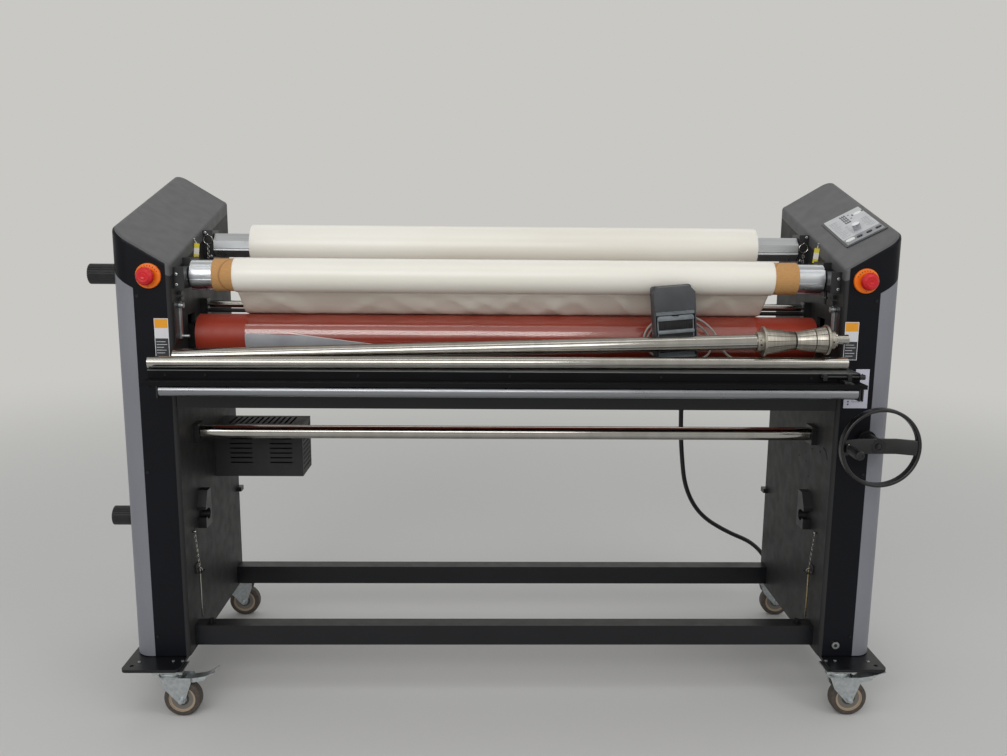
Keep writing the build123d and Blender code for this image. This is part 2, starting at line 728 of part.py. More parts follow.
def make_nip_carriage():
    """Bearing blocks that carry the top roller up and down in the side plates' slots."""
    with BuildPart() as nip_carriage:
        for side in (-1, 1):
            block((side * (roller_half_face + 8), nip_y - carriage_width / 2,
                   top_axis_z - carriage_height / 2),
                  (side * (half_gap + plate_thick + 4), nip_y + carriage_width / 2,
                   top_axis_z + carriage_height / 2))
        rod((-outer_face, nip_y, top_axis_z), (outer_face, nip_y, top_axis_z), journal_radius + running,
            mode=Mode.SUBTRACT)
    save(nip_carriage, "nip_carriage")


def make_film_wrap():
    """Clear film lying round the front of the top roller, from above it down into the nip."""
    inner = roller_radius + 0.4
    outer = inner + film_thick
    arc_end = 250
    with BuildPart() as film_wrap:
        with BuildSketch(Plane.YZ.offset(film_left + 27)) as band:
            with BuildLine():
                top = CenterArc((nip_y, top_axis_z), outer, 90, arc_end - 90)
                under = CenterArc((nip_y, top_axis_z), inner, 90, arc_end - 90)
                Line(top @ 1, under @ 1)
                Polyline(top @ 0, (nip_y + 15, top_axis_z + outer), (nip_y + 15, top_axis_z + inner),
                         under @ 0)
            make_face()
        extrude(amount=film_right - film_left - 66)
    save(film_wrap, "film_wrap")


def make_supply_shaft(y, z, radius, facets, label):
    """Aluminium supply shaft with flats or grooves along it and a round journal at each end."""
    with BuildPart() as shaft:
        with BuildSketch(Plane.YZ.offset(-supply_end)) as section:
            with Locations((y, z)):
                if facets:
                    RegularPolygon(radius, facets, rotation=180 / facets)
                else:
                    Circle(radius)
                with PolarLocations(radius, 6, start_angle=15):
                    Circle(2.5, mode=Mode.SUBTRACT)
                Circle(radius - 6, mode=Mode.SUBTRACT)
        extrude(amount=2 * supply_end)
        for side in (-1, 1):
            rod((side * (supply_end - 12), y, z), (side * supply_end, y, z), radius - 5)
            rod((side * supply_end, y, z), (side * (half_gap - 3), y, z), stub_radius)
        if not facets:
            with BuildSketch(Plane.YZ.offset(core_left)) as grips:
                with Locations((y, z)):
                    with PolarLocations(radius - 0.5, 3, start_angle=-60):
                        Rectangle(3, 5)
            extrude(amount=core_right - core_left)
    save(shaft, label)


def make_film_roll(y, z, radius, left, right, core, label):
    """Roll of film on its cardboard core."""
    with BuildPart() as film_roll:
        rod((left, y, z), (right, y, z), radius)
        if core:
            rod((core[0], y, z), (core[1], y, z), core_outer_radius)
        far = core or (left, right)
        rod((far[0] - 1, y, z), (far[1] + 1, y, z), core_inner_radius if core else rear_supply_radius + 0.6,
            mode=Mode.SUBTRACT)
    save(film_roll, label)


def make_film_web():
    """Film sheet that drops from the front roll to just behind the top roller's crown."""
    leave = (supply_y + web_lead, supply_z - sqrt((film_radius + film_thick) ** 2 - web_lead ** 2))
    land = (nip_y + 55, top_axis_z + roller_radius + 9)
    drop = film_thick * 1.4
    with BuildPart() as film_web:
        slab([leave, (nip_y + 50, land[1] + 5), land, (land[0] - drop, land[1]),
              (nip_y + 50 - drop, land[1] + 5 - drop / 4), (leave[0], leave[1] - drop)],
             film_left + 11, film_right - 11)
    save(film_web, "film_web")


def make_idlers():
    """Chrome idler behind the top roller, grey idler under the table ledge, lower steel shaft."""
    with BuildPart() as chrome_idler:
        rod((-idler_end, idler_y, idler_z), (idler_end, idler_y, idler_z), idler_radius)
        rod((-half_gap + 2, idler_y, idler_z), (half_gap - 2, idler_y, idler_z), idler_stub)
    save(chrome_idler, "chrome_idler")

    with BuildPart() as table_idler:
        rod((table_idler_left, table_idler_y, table_idler_z),
            (table_idler_right, table_idler_y, table_idler_z), table_idler_radius)
        rod((table_idler_left - 6, table_idler_y, table_idler_z),
            (table_idler_right + 6, table_idler_y, table_idler_z), idler_stub)
    save(table_idler, "table_idler")

    with BuildPart() as lower_shaft:
        rod((-lower_shaft_end, lower_shaft_y, lower_shaft_z),
            (lower_shaft_end, lower_shaft_y, lower_shaft_z), lower_shaft_radius)
        ends = lower_shaft.edges().filter_by(GeomType.CIRCLE)
        chamfer(ends, 1.5)
        rod((-half_gap + 3, lower_shaft_y, lower_shaft_z), (half_gap - 3, lower_shaft_y, lower_shaft_z),
            lower_stub)
    save(lower_shaft, "lower_shaft")


def make_stops():
    """Emergency stops: an orange collar fixed on each front panel and a red mushroom button in it."""
    with BuildPart() as stop_collars:
        for side in (-1, 1):
            x = side * (half_gap + stop_x)
            rod((x, 0, stop_z), (x, -stop_collar_thick, stop_z), stop_collar_radius)
            rod((x, 1, stop_z), (x, -stop_collar_thick - 1, stop_z), stop_neck_radius + gap,
                mode=Mode.SUBTRACT)
    save(stop_collars, "stop_collars")

    for side, across in ((-1, "left"), (1, "right")):
        x = side * (half_gap + stop_x)
        with BuildPart() as button:
            head_back = -stop_collar_thick - stop_travel - 10
            rod((x, 1 - stop_collar_thick, stop_z), (x, head_back, stop_z), stop_neck_radius)
            rod((x, head_back, stop_z), (x, head_back - stop_head_thick, stop_z), stop_head_radius)
            crown = button.edges().filter_by(GeomType.CIRCLE).sort_by(Axis.Y)[0]
            fillet(crown, 9)
        save(button, f"{across}_stop_button")


def panel_plane():
    """Plane of the right cabinet's roof at the middle of the control panel, its Y towards the back."""
    x = half_gap + panel_centre_x
    roof = roof_plane(1)
    back = Vector(0, 1, roof_back_rise / cabinet_depth)
    return Plane(origin=(x, panel_centre_y, roof_height(x, panel_centre_y)), x_dir=back.cross(roof.z_dir),
                 z_dir=roof.z_dir)


def make_control_panel():
    """Dark bezel with a raised plate, pierced for the buttons and the speed knob."""
    with BuildPart() as control_panel:
        with BuildSketch(panel_plane()) as frame:
            RectangleRounded(panel_width, panel_length, 6)
        extrude(amount=panel_proud)
        with BuildSketch(panel_plane().offset(panel_proud)) as plate:
            RectangleRounded(panel_width - 2 * bezel, panel_length - 2 * bezel, 3)
        extrude(amount=0.8)
        with BuildSketch(panel_plane()) as holes:
            for x, y, length, width in button_places:
                with Locations((x, y)):
                    SlotOverall(length + 2 * gap, width + 2 * gap)
            with Locations(speed_knob_place):
                Circle(3 + running)
        extrude(amount=panel_proud + 2, mode=Mode.SUBTRACT)
    save(control_panel, "control_panel")

    for number, (x, y, length, width) in enumerate(button_places, start=1):
        with BuildPart() as button:
            with BuildSketch(panel_plane().offset(button_travel + rest_gap)) as face:
                with Locations((x, y)):
                    SlotOverall(length, width)
            extrude(amount=3.4)
            top = button.faces().sort_by(Axis((0, 0, 0), panel_plane().z_dir))[-1]
            fillet(top.edges(), 0.6)
        save(button, f"panel_button_{number}")

    with BuildPart() as speed_knob:
        base = panel_plane().offset(panel_proud + 0.8 + rest_gap)
        with BuildSketch(base) as disc:
            with Locations(speed_knob_place):
                Circle(speed_knob_radius)
                with PolarLocations(speed_knob_radius, 20):
                    Circle(0.7, mode=Mode.SUBTRACT)
        extrude(amount=16)
        with BuildSketch(base) as spindle:
            with Locations(speed_knob_place):
                Circle(3)
        extrude(amount=-panel_proud)
    save(speed_knob, "speed_knob")


def make_tension_knobs():
    """Ribbed brake knobs on the left cabinet, on spindles that end at the side plate's inner face."""
    for label, y, z in (("upper_tension_knob", supply_y, supply_z),
                        ("lower_tension_knob", saddle_y, lower_knob_z)):
        start = -(outer_face + knob_standoff)
        with BuildPart() as knob:
            with BuildSketch(Plane.YZ.offset(start)) as section:
                with Locations((y, z)):
                    Circle(tension_knob_radius)
                    with PolarLocations(tension_knob_radius, 28):
                        Circle(1.5, mode=Mode.SUBTRACT)
            extrude(amount=-tension_knob_length)
            rod((start, y, z), (-half_gap - 1, y, z), handwheel_shaft)
        save(knob, label)


def make_handwheel():
    """Dished handwheel with one wide bar for a spoke, and its folding grip."""
    x = half_gap + handwheel_x
    rim_depth = 22
    front = handwheel_plane - 9
    reach = handwheel_radius - 17
    with BuildPart() as handwheel:
        with BuildSketch(Plane(origin=(x, 0, handwheel_z), x_dir=(1, 0, 0), z_dir=(0, 0, 1))) as rim:
            with Locations((handwheel_radius - 4.5, front + rim_depth / 2)):
                RectangleRounded(9, rim_depth, 4)
        revolve(axis=Axis((x, 0, handwheel_z), (0, 1, 0)))
        hub_front = handwheel_plane + handwheel_dish - 4
        hub_half = 46
        with BuildSketch(Plane.XY.offset(handwheel_z - 19)) as bar:
            with BuildLine():
                Polyline((x - 92, front + 4), (x - hub_half, hub_front), (x + hub_half, hub_front),
                         (x + 92, front + 4), (x + 92, front + 12), (x + hub_half, hub_front + 8),
                         (x - hub_half, hub_front + 8), (x - 92, front + 12), close=True)
            make_face()
        extrude(amount=38)
        rod((x, hub_front - 2, handwheel_z), (x, -20, handwheel_z), 19)
        rod((x, -21, handwheel_z), (x, 38, handwheel_z), handwheel_shaft)
        pivot = (x - reach, front, handwheel_z)
        for turn in (-1, 1):
            block((pivot[0] - 7, front, handwheel_z + turn * 6),
                  (pivot[0] + 7, front + 9, handwheel_z + turn * 10))
            rod((pivot[0], front, handwheel_z + turn * 6), (pivot[0], front, handwheel_z + turn * 10), 7)
        rod((pivot[0], front, handwheel_z - 10), (pivot[0], front, handwheel_z + 10), 2.5)
    save(handwheel, "handwheel")

    with BuildPart() as handle:
        rod((pivot[0], front, handwheel_z - 5.3), (pivot[0], front, handwheel_z + 5.3), 6.5)
        rod(pivot, (pivot[0], front - 14, handwheel_z), 5)
        with BuildSketch(Plane(origin=(pivot[0], 0, handwheel_z), x_dir=(1, 0, 0), z_dir=(0, 0, 1))) as grip:
            with BuildLine():
                Polyline((0, front - 11), (9, front - 11), (11, front - 16),
                         (12.5, front - handle_length + 14), (11, front - handle_length),
                         (0, front - handle_length), close=True)
            make_face()
        revolve(axis=Axis((pivot[0], 0, handwheel_z), (0, 1, 0)))
        rod((pivot[0], front, handwheel_z - 6), (pivot[0], front, handwheel_z + 6), 2.5 + running,
            mode=Mode.SUBTRACT)
    save(handle, "handwheel_handle")


def tube_between(start, end, radius, bore):
    """Tube between two points on its axis."""
    axis = (Vector(*end) - Vector(*start)).normalized()
    rod(start, end, radius)
    rod(Vector(*start) - axis, Vector(*end) + axis, bore, mode=Mode.SUBTRACT)


def spare_point(along):
    """Point on the axis of the rear loose shaft, counted from its left end."""
    return spare_start + spare_axis * along


def make_loose_shafts():
    """Two polished shafts lying on the table, the rear one lifted at the right by its core chuck."""
    with BuildPart() as front_shaft:
        tube_between(loose_start, loose_end, loose_radius, loose_radius - 3)
        for end, turn in ((loose_start, 1), (loose_end, -1)):
            rod(end, (end[0] + turn * 8, end[1], end[2]), loose_radius - 2.5)
    save(front_shaft, "loose_shaft_front")

    with BuildPart() as rear_shaft:
        rod(spare_point(0), spare_point(spare_length), spare_radius)
        rod(spare_point(0), spare_point(spare_length + 30), 12)
    save(rear_shaft, "loose_shaft_rear")

    with BuildPart() as core_chuck:
        across = Vector(0, 0, 1).cross(spare_axis).normalized()
        section_plane = Plane(origin=spare_point(chuck_start), x_dir=spare_axis.cross(across), z_dir=across)
        bore = spare_radius + running
        with BuildSketch(section_plane) as section:
            with BuildLine():
                Polyline((bore, -20), (25, -20), (25, -6), (chuck_flange_radius, -6),
                         (chuck_flange_radius, 0), (33, 0), (chuck_waist_radius + 1, chuck_length / 2),
                         (33, chuck_length), (chuck_flange_radius, chuck_length),
                         (chuck_flange_radius, chuck_length + 6), (23, chuck_length + 8),
                         (23, chuck_length + 22), (bore, chuck_length + 22), close=True)
            make_face()
        revolve(axis=Axis(spare_point(chuck_start), spare_axis))
        slots = Plane(origin=spare_point(chuck_start), x_dir=(0, 1, 0), z_dir=spare_axis)
        with BuildSketch(slots) as cuts:
            with PolarLocations((chuck_flange_radius + chuck_waist_radius) / 2 + 1, 14):
                Rectangle(chuck_flange_radius - chuck_waist_radius + 2, 1.2)
        extrude(amount=chuck_length, mode=Mode.SUBTRACT)
        with BuildSketch(section_plane) as core:
            with BuildLine():
                Polyline((bore, -1), (31, -1), (chuck_waist_radius - 0.8, chuck_length / 2),
                         (31, chuck_length + 1), (bore, chuck_length + 1), close=True)
            make_face()
        revolve(axis=Axis(spare_point(chuck_start), spare_axis))
    save(core_chuck, "core_chuck")


def switch_plane(y):
    """Upright plane across the foot switch, at its middle, leaning a little to the left."""
    lean = radians(switch_lean)
    base_z = table_top + rest_gap + switch_width / 2 * sin(lean)
    return Plane(origin=(switch_x, y, base_z), x_dir=(cos(lean), 0, sin(lean)), z_dir=(0, -1, 0))


def make_foot_switch():
    """Foot switch standing on its heel: back plate, cheeks, toe hood and ribbed treadle."""
    back_y = switch_front + switch_depth
    half = switch_width / 2
    hood_low = switch_height - 66
    with BuildPart() as housing:
        with BuildSketch(switch_plane(back_y)) as back:
            with Locations((0, switch_height / 2)):
                RectangleRounded(switch_width, switch_height, 8)
        extrude(amount=6)
        with BuildSketch(switch_plane(back_y - 6)) as cheeks:
            for turn in (-1, 1):
                with Locations((turn * (half - 1.5), switch_height / 2 - 8)):
                    Rectangle(3, switch_height - 28)
            with Locations((0, switch_height - 16)):
                Rectangle(switch_width - 4, 3)
            with Locations((0, 8)):
                Rectangle(switch_width - 4, 7)
        extrude(amount=switch_depth - 11)
        with BuildSketch(switch_plane(switch_front + 3)) as hood:
            with BuildLine():
                Polyline((-half, hood_low), (half, hood_low), (half, switch_height - 16),
                         (half - 14, switch_height), (14 - half, switch_height), (-half, switch_height - 16),
                         close=True)
            make_face()
        extrude(amount=3)
        with BuildSketch(switch_plane(switch_front + 16)) as ledge:
            with Locations((0, hood_low + 4)):
                Rectangle(switch_width - 4, 8)
        extrude(amount=13)
        treadle_pin = switch_plane(switch_front + 12)
        rod(treadle_pin.from_local_coords((3 - half, 18, 0)),
            treadle_pin.from_local_coords((half - 3, 18, 0)), 3)
    save(housing, "foot_switch_housing")

    with BuildPart() as treadle:
        with BuildSketch(switch_plane(switch_front + 10)) as pad:
            with Locations((0, 18 + (hood_low - 24) / 2)):
                Rectangle(switch_width - 12, hood_low - 24)
        extrude(amount=4)
        with BuildSketch(switch_plane(switch_front + 6)) as ribs:
            with Locations((0, 18 + (hood_low - 24) / 2)):
                with GridLocations(1, 7, 1, 14):
                    Rectangle(switch_width - 16, 3)
        extrude(amount=2)
        barrel = switch_plane(switch_front + 12)
        rod(barrel.from_local_coords((8 - half, 18, 0)), barrel.from_local_coords((half - 8, 18, 0)), 6)
        rod(barrel.from_local_coords((2 - half, 18, 0)), barrel.from_local_coords((half - 2, 18, 0)),
            3 + running, mode=Mode.SUBTRACT)
    save(treadle, "foot_switch_treadle")


def make_small_levers():
    """Hanging link levers inside the fronts, the supply lock lever and the table latch pin."""
    for side, across in ((-1, "left"), (1, "right")):
        near = side * (half_gap - 3.5)
        with BuildPart() as link:
            rod((near, link_y, link_z), (side * (half_gap - 9), link_y, link_z), 9)
            block((near, link_y - 6, link_z - 84), (side * (half_gap - 8), link_y + 6, link_z))
            rod((side * (half_gap - 9), link_y, link_z), (side * (half_gap - 15), link_y, link_z), 7)
            rod((side * (half_gap - 8), link_y, link_z - 78),
                (side * (half_gap - 26), link_y, link_z - 78), 4)
        save(link, f"{across}_link_lever")

    with BuildPart() as lock:
        x = half_gap - 14
        top = supply_z - 31 - rest_gap
        rod((x, supply_y, top), (x, supply_y, top - 34), 4)
        rod((x, supply_y - 12, top - 16), (x, supply_y + 12, top - 16), 3.5)
    save(lock, "supply_lock_lever")

    with BuildPart() as pin:
        rod((latch_left, latch_y, latch_z), (latch_right, latch_y, latch_z), latch_radius)
        rod((latch_right, latch_y, latch_z), (latch_right + 13, latch_y, latch_z), 6.5)
    save(pin, "table_latch_pin")


def make_frame_hardware():
    """Screws, bolts, caster top plates and the handwheel's bearing."""
    with BuildPart() as frame_hardware:
        for side in (-1, 1):
            for y in (front_caster_y, rear_caster_y):
                block((swivel_x(side) - 39, y - 30, cabinet_floor - foot_thick - caster_plate_thick),
                      (swivel_x(side) + 39, y + 30, cabinet_floor - foot_thick))
            screw = side * (half_gap + screw_x)
            for z in screw_heights:
                rod((screw, -2, z), (screw, 0, z), 4)
            bolt = (side * beam_bolt_x, front_beam_y + beam_depth / 2, beam_bottom + beam_height)
            rod(bolt, (bolt[0], bolt[1], bolt[2] + 2), 12)
            rod((bolt[0], bolt[1], bolt[2] + 2), (bolt[0], bolt[1], bolt[2] + 10), 6.5)
        foot_bolt = half_gap + foot_bolt_x
        foot_bolt_z = cabinet_floor + foot_bolt_lift
        rod((foot_bolt, -6, foot_bolt_z), (foot_bolt, 0, foot_bolt_z), 10)
        rod((foot_bolt, -7, foot_bolt_z), (foot_bolt, -3, foot_bolt_z), 4, mode=Mode.SUBTRACT)
        face_screws = [place * face_screw_step for place in (-2, -1, 0, 1, 2)]
        for x in (table_left + left_screw_inset, *face_screws):
            rod((x, table_front - 2.5, face_screw_z), (x, table_front, face_screw_z), 3)
        axis_x = half_gap + handwheel_x
        rod((axis_x, -16, handwheel_z), (axis_x, 0, handwheel_z), 24)
        rod((axis_x, -17, handwheel_z), (axis_x, 1, handwheel_z), handwheel_shaft + running,
            mode=Mode.SUBTRACT)
    save(frame_hardware, "frame_hardware")


# Mains lead, from the gland under the tie beam, sagging to the floor behind the right cabinet and
# lying there in a loose bend
mains_route = [(552, 510, 748), (552, 510, 668), (562, 521, 560), (583, 545, 442), (645, 590, 338),
               (745, 628, 268), (850, 655, 218), (915, 684, 135), (942, 728, 52), (950, 790, 7.3),
               (953, 862, 7.3), (1001, 915, 7.3), (1073, 919, 7.3), (1127, 871, 7.3), (1129, 799, 7.3),
               (1121, 722, 7.3), (1126, 645, 7.3)]

# Foot switch cord, looping twice behind the switch and running to the right side plate
switch_route = [(430, 44, 951), (430, 69, 951), (408, 84, 942), (372, 84, 952), (357, 82, 988),
                (384, 81, 1026), (438, 80, 1041), (494, 80, 1026), (527, 78, 988), (528, 74, 952),
                (500, 68, 933), (440, 63, 931.2), (385, 64, 936), (352, 66, 966), (349, 66, 1006),
                (382, 66, 1040), (438, 66, 1054), (496, 66, 1040), (536, 66, 1003), (552, 66, 962),
                (580, 64, 935), (640, 60, 931.2), (715, 66, 931.2), (780, 61, 932), (812, 60, 940),
                (829, 60, 940)]


def corner_radii(route):
    """Radius of the arc at each inner point: as large as the two runs beside it allow."""
    points = [Vector(*place) for place in route]
    radii = []
    for before, here, after in zip(points, points[1:], points[2:]):
        turn = radians((here - before).get_angle(after - here))
        radii.append(0.45 * min((here - before).length, (after - here).length) / tan(turn / 2))
    return radii


def cord_tube(route, radius):
    """Round cord along straight runs joined by arcs."""
    radii = corner_radii(route)
    with BuildPart() as cord:
        with BuildLine() as path:
            FilletPolyline(*route, radius=radii)
        start = Vector(*route[0])
        with BuildSketch(Plane(origin=start, z_dir=Vector(*route[1]) - start)):
            Circle(radius)
        sweep()
    length = path.wires()[0].length
    filled = cord.part.volume / (pi * radius ** 2 * length)
    print(f"cord length {length:.0f} mm, radii {[round(value) for value in radii]}, filled {filled:.4f}")
    return cord


def make_cords():
    """Mains lead with its plug, and the foot switch's cord."""
    save(cord_tube(mains_route, mains_radius), "mains_cord")
    save(cord_tube(switch_route, switch_cord_radius), "foot_switch_cord")

    last = Vector(*mains_route[-1])
    ahead = (last - Vector(*mains_route[-2])).normalized()
    with BuildPart() as mains_plug:
        with BuildSketch(Plane(origin=last, x_dir=Vector(0, 0, 1), z_dir=ahead)) as body:
            RectangleRounded(2 * mains_radius, plug_width, 4)
        extrude(amount=plug_length)
        pin_root = last + ahead * plug_length
        with BuildSketch(Plane(origin=pin_root, x_dir=Vector(0, 0, 1), z_dir=ahead)) as pins:
            with GridLocations(1, 13, 1, 2):
                Rectangle(6.3, 1.5)
        extrude(amount=17)
    save(mains_plug, "mains_plug")


make_covers()
make_side_plates()
make_base_frame()
make_feed_table()
make_table_beam()
make_shaft_brackets()
make_lower_saddles()
make_drive_box()
make_frame_hardware()
make_casters()
make_rollers()
make_nip_carriage()
make_film_wrap()
make_supply_shaft(supply_y, supply_z, supply_radius, 0, "front_supply_shaft")
make_film_roll(supply_y, supply_z, film_radius, film_left, film_right, (core_left, core_right),
               "front_film_roll")
make_supply_shaft(rear_supply_y, rear_supply_z, rear_supply_radius, 8, "rear_supply_shaft")
make_film_roll(rear_supply_y, rear_supply_z, rear_film_radius, rear_film_left, rear_film_right, None,
               "rear_film_roll")
make_film_web()
make_idlers()
make_stops()
make_control_panel()
make_tension_knobs()
make_handwheel()
make_loose_shafts()
make_foot_switch()
make_small_levers()
make_cords()
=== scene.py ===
"""Looks of a wide format roll laminator, laid out as an add-on and run as a script.

Sizes are in millimetres, counted from the machine's middle plane, the cabinets' front faces and
the floor, unless a name says otherwise. spot() turns such a place into metres in the part's frame.
"""
import math
import random
from functools import partial

import bmesh
import bpy
from mathutils import Matrix, Vector


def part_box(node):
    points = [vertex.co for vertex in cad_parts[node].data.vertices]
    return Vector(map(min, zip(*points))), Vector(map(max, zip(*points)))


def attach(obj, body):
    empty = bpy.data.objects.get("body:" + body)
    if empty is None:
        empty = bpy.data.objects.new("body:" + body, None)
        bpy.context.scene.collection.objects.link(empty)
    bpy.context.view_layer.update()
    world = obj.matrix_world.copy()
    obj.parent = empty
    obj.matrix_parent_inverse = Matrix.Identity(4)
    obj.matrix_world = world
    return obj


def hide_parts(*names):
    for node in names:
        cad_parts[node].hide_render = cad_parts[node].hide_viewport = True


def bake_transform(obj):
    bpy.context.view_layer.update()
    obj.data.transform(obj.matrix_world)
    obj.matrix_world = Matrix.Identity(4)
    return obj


bl_info = {
    "name": "Roll Laminator",
    "version": (1, 0, 0),
    "blender": (4, 5, 0),
    "location": "3D View > Sidebar > Laminator",
    "description": "Finishes and fine pieces of a wide format roll laminator",
    "category": "Add Mesh",
}

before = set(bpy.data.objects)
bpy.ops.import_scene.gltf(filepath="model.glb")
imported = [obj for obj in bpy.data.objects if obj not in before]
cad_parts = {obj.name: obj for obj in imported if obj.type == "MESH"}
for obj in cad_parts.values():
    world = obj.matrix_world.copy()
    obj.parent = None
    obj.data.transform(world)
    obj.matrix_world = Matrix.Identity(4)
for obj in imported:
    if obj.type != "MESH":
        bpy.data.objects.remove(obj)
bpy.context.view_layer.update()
plates_low, plates_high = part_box("side_plates")
middle_x = (plates_low.x + plates_high.x) / 2
front_y = plates_low.y

BACKDROP = "c9c8c4"
# The photograph's camera: its place in metres, its pitch, yaw and roll in degrees, and its lens.
CAMERA_PLACE = (-0.0307, -2.4688, 1.2909)
CAMERA_ANGLES = (9.978, 1.084, 0.495)
FOCAL_LENGTH = 32.41
SENSOR_WIDTH = 36
# From the middle plane to a side plate, and to the end of the rollers' silicone.
HALF_GAP = 837.5
SILICONE_END = 813
# Rise of the roofs for each millimetre across and along.
ROOF_ACROSS = 87.5 / 147.5
ROOF_ALONG = 159.5 / 537.0
# Axes that run across the machine, as (y, z), and forwards, as (x, z).
FRONT_SUPPLY = (92, 1143)
REAR_SUPPLY = (308, 1211)
TOP_ROLLER = (150, 981.25)
HANDWHEEL = (917, 741)
STOP_BUTTON = (888.5, 1145)
FORWARDS = (0, -1, 0)
# From the middle plane to a caster's swivel axis, and how far back the axes are.
CASTER_ACROSS = 876
CASTERS_BACK = {"front": -40, "rear": 577}

MAINS_POINTS = (
    (552, 510, 748), (552, 510, 668), (562, 521, 560), (583, 545, 442), (645, 590, 338), (745, 628, 268),
    (850, 655, 218), (915, 684, 135), (942, 728, 52), (950, 790, 7.3), (953, 862, 7.3), (1001, 915, 7.3),
    (1073, 919, 7.3), (1127, 871, 7.3), (1129, 799, 7.3), (1121, 722, 7.3), (1126, 645, 7.3))
SWITCH_POINTS = (
    (430, 44, 951), (430, 69, 951), (408, 84, 942), (372, 84, 952), (357, 82, 988), (384, 81, 1026),
    (438, 80, 1041), (494, 80, 1026), (527, 78, 988), (528, 74, 952), (500, 68, 933), (440, 63, 931.2),
    (385, 64, 936), (352, 66, 966), (349, 66, 1006), (382, 66, 1040), (438, 66, 1054), (496, 66, 1040),
    (536, 66, 1003), (552, 66, 962), (580, 64, 935), (640, 60, 931.2), (715, 66, 931.2), (780, 61, 932),
    (812, 60, 940), (829, 60, 940))


def mm(value):
    return value / 1000


def spot(x, y, z):
    """Point in metres in the part's frame, from a place in millimetres on the machine."""
    return Vector((middle_x + mm(x), front_y + mm(y), mm(z)))


def to_linear(hex_colour):
    """Linear colour with alpha 1, from an sRGB hex value such as 5a5a5c."""
    shares = [int(hex_colour[place:place + 2], 16) / 255 for place in (0, 2, 4)]
    return (*[s / 12.92 if s <= 0.04045 else ((s + 0.055) / 1.055) ** 2.4 for s in shares], 1.0)


def tinted(colour, share):
    return [min(1.0, part * share) for part in colour[:3]] + [1.0]


def feed(tree, node, inputs):
    """Sets a node's inputs, by name or number, to values, hex colours or other nodes' outputs."""
    for name, value in inputs.items():
        if isinstance(value, bpy.types.NodeSocket):
            tree.links.new(value, node.inputs[name])
        else:
            node.inputs[name].default_value = to_linear(value) if isinstance(value, str) else value


def add_node(tree, kind, inputs=None, out=0, **settings):
    """Adds a node with its settings and inputs, and gives back one of its outputs."""
    made = tree.nodes.new("ShaderNode" + kind)
    for name, value in settings.items():
        setattr(made, name, value)
    feed(tree, made, inputs or {})
    return made.outputs[out] if made.outputs else made


class Finish:
    """Material in the making: its shader, and the Object coordinates that its patterns read"""

    def __init__(self, name, roughness, metallic=0.0, ior=1.5, **sockets):
        self.material = bpy.data.materials.new(name)
        self.material.use_nodes = True
        self.tree = self.material.node_tree
        self.tree.nodes.clear()
        self.add = partial(add_node, self.tree)
        self.surface = self.add("BsdfPrincipled",
                                {"Roughness": roughness, "Metallic": metallic, "IOR": ior, **sockets})
        self.output = self.add("OutputMaterial", {"Surface": self.surface})
        self.place = self.add("TexCoord", out="Object")

    def grain(self, size_mm, detail=2, stretch=(1, 1, 1)):
        """Noise whose cells are about size_mm wide, drawn out along an axis where stretch is over 1."""
        cells = [1000 / size_mm / long for long in stretch]
        scaled = self.add("Mapping", {"Vector": self.place, "Scale": cells})
        return self.add("TexNoise", {"Vector": scaled, "Scale": 1.0, "Detail": detail}, "Fac")

    def between(self, amount, low, high, first, second):
        """Colour or number that goes from first to second as amount goes from low to high."""
        spread = {"Value": amount, "From Min": low, "From Max": high}
        if isinstance(first, (int, float)):
            return self.add("MapRange", {**spread, "To Min": first, "To Max": second})
        share = self.add("MapRange", spread)
        return self.add("Mix", {"Factor": share, 6: first, 7: second}, 2, data_type="RGBA")

    def off_axis(self, centre, flat):
        """Distance in metres from a line through centre, along the axis where flat is 0."""
        moved = self.add("VectorMath", {0: self.place, 1: centre}, operation="SUBTRACT")
        pressed = self.add("VectorMath", {0: moved, 1: flat}, operation="MULTIPLY")
        return self.add("VectorMath", {0: pressed}, "Value", operation="LENGTH")

    def dress(self, colour, height=None, depth_mm=0, strength=0.4, **sockets):
        """Gives the shader its colour and other inputs, and a surface raised by height times depth_mm."""
        if depth_mm:
            raised = {"Height": height, "Distance": mm(depth_mm), "Strength": strength}
            sockets["Normal"] = self.add("Bump", raised)
        feed(self.tree, self.surface.node, {"Base Color": colour, **sockets})
        return self.material


def paint(name, colour, shade, roughness, peel_mm, peel_depth, patch_mm=160, gloss=0.5):
    """Paint with an orange peel of peel_mm and a broad, faint change of shade."""
    coat = Finish(name, roughness, **{"Specular IOR Level": gloss})
    scuffs = coat.between(coat.grain(35, 6), 0.3, 0.7, roughness - 0.05, roughness + 0.08)
    return coat.dress(coat.between(coat.grain(patch_mm, 4), 0.3, 0.7, colour, shade), coat.grain(peel_mm, 1),
                      peel_depth, 0.5, Roughness=scuffs)


def metal(name, colour, shade, roughness, stretch, line_mm, line_depth):
    """Metal with fine lines of line_mm that are drawn out along one axis."""
    bare = Finish(name, roughness, metallic=1.0)
    lines = bare.grain(line_mm, 3, stretch)
    wear = bare.between(bare.grain(40), 0.3, 0.7, roughness * 0.85, roughness * 1.2)
    return bare.dress(bare.between(lines, 0.35, 0.65, colour, shade), lines, line_depth, Roughness=wear)


def plastic(name, colour, shade, roughness, grit_mm=0.6, grit_depth=0.02):
    """Moulded plastic with a fine spark-eroded grain."""
    mould = Finish(name, roughness, ior=1.46)
    return mould.dress(mould.between(mould.grain(22, 3), 0.35, 0.65, colour, shade), mould.grain(grit_mm, 1),
                       grit_depth)


def print_coat(name, colour, roughness=0.4):
    """Screen-printed ink, card or vinyl: flat colour under a satin lacquer."""
    coat = Finish(name, roughness)
    return coat.dress(colour, coat.grain(0.8, 1), 0.01, 0.3)


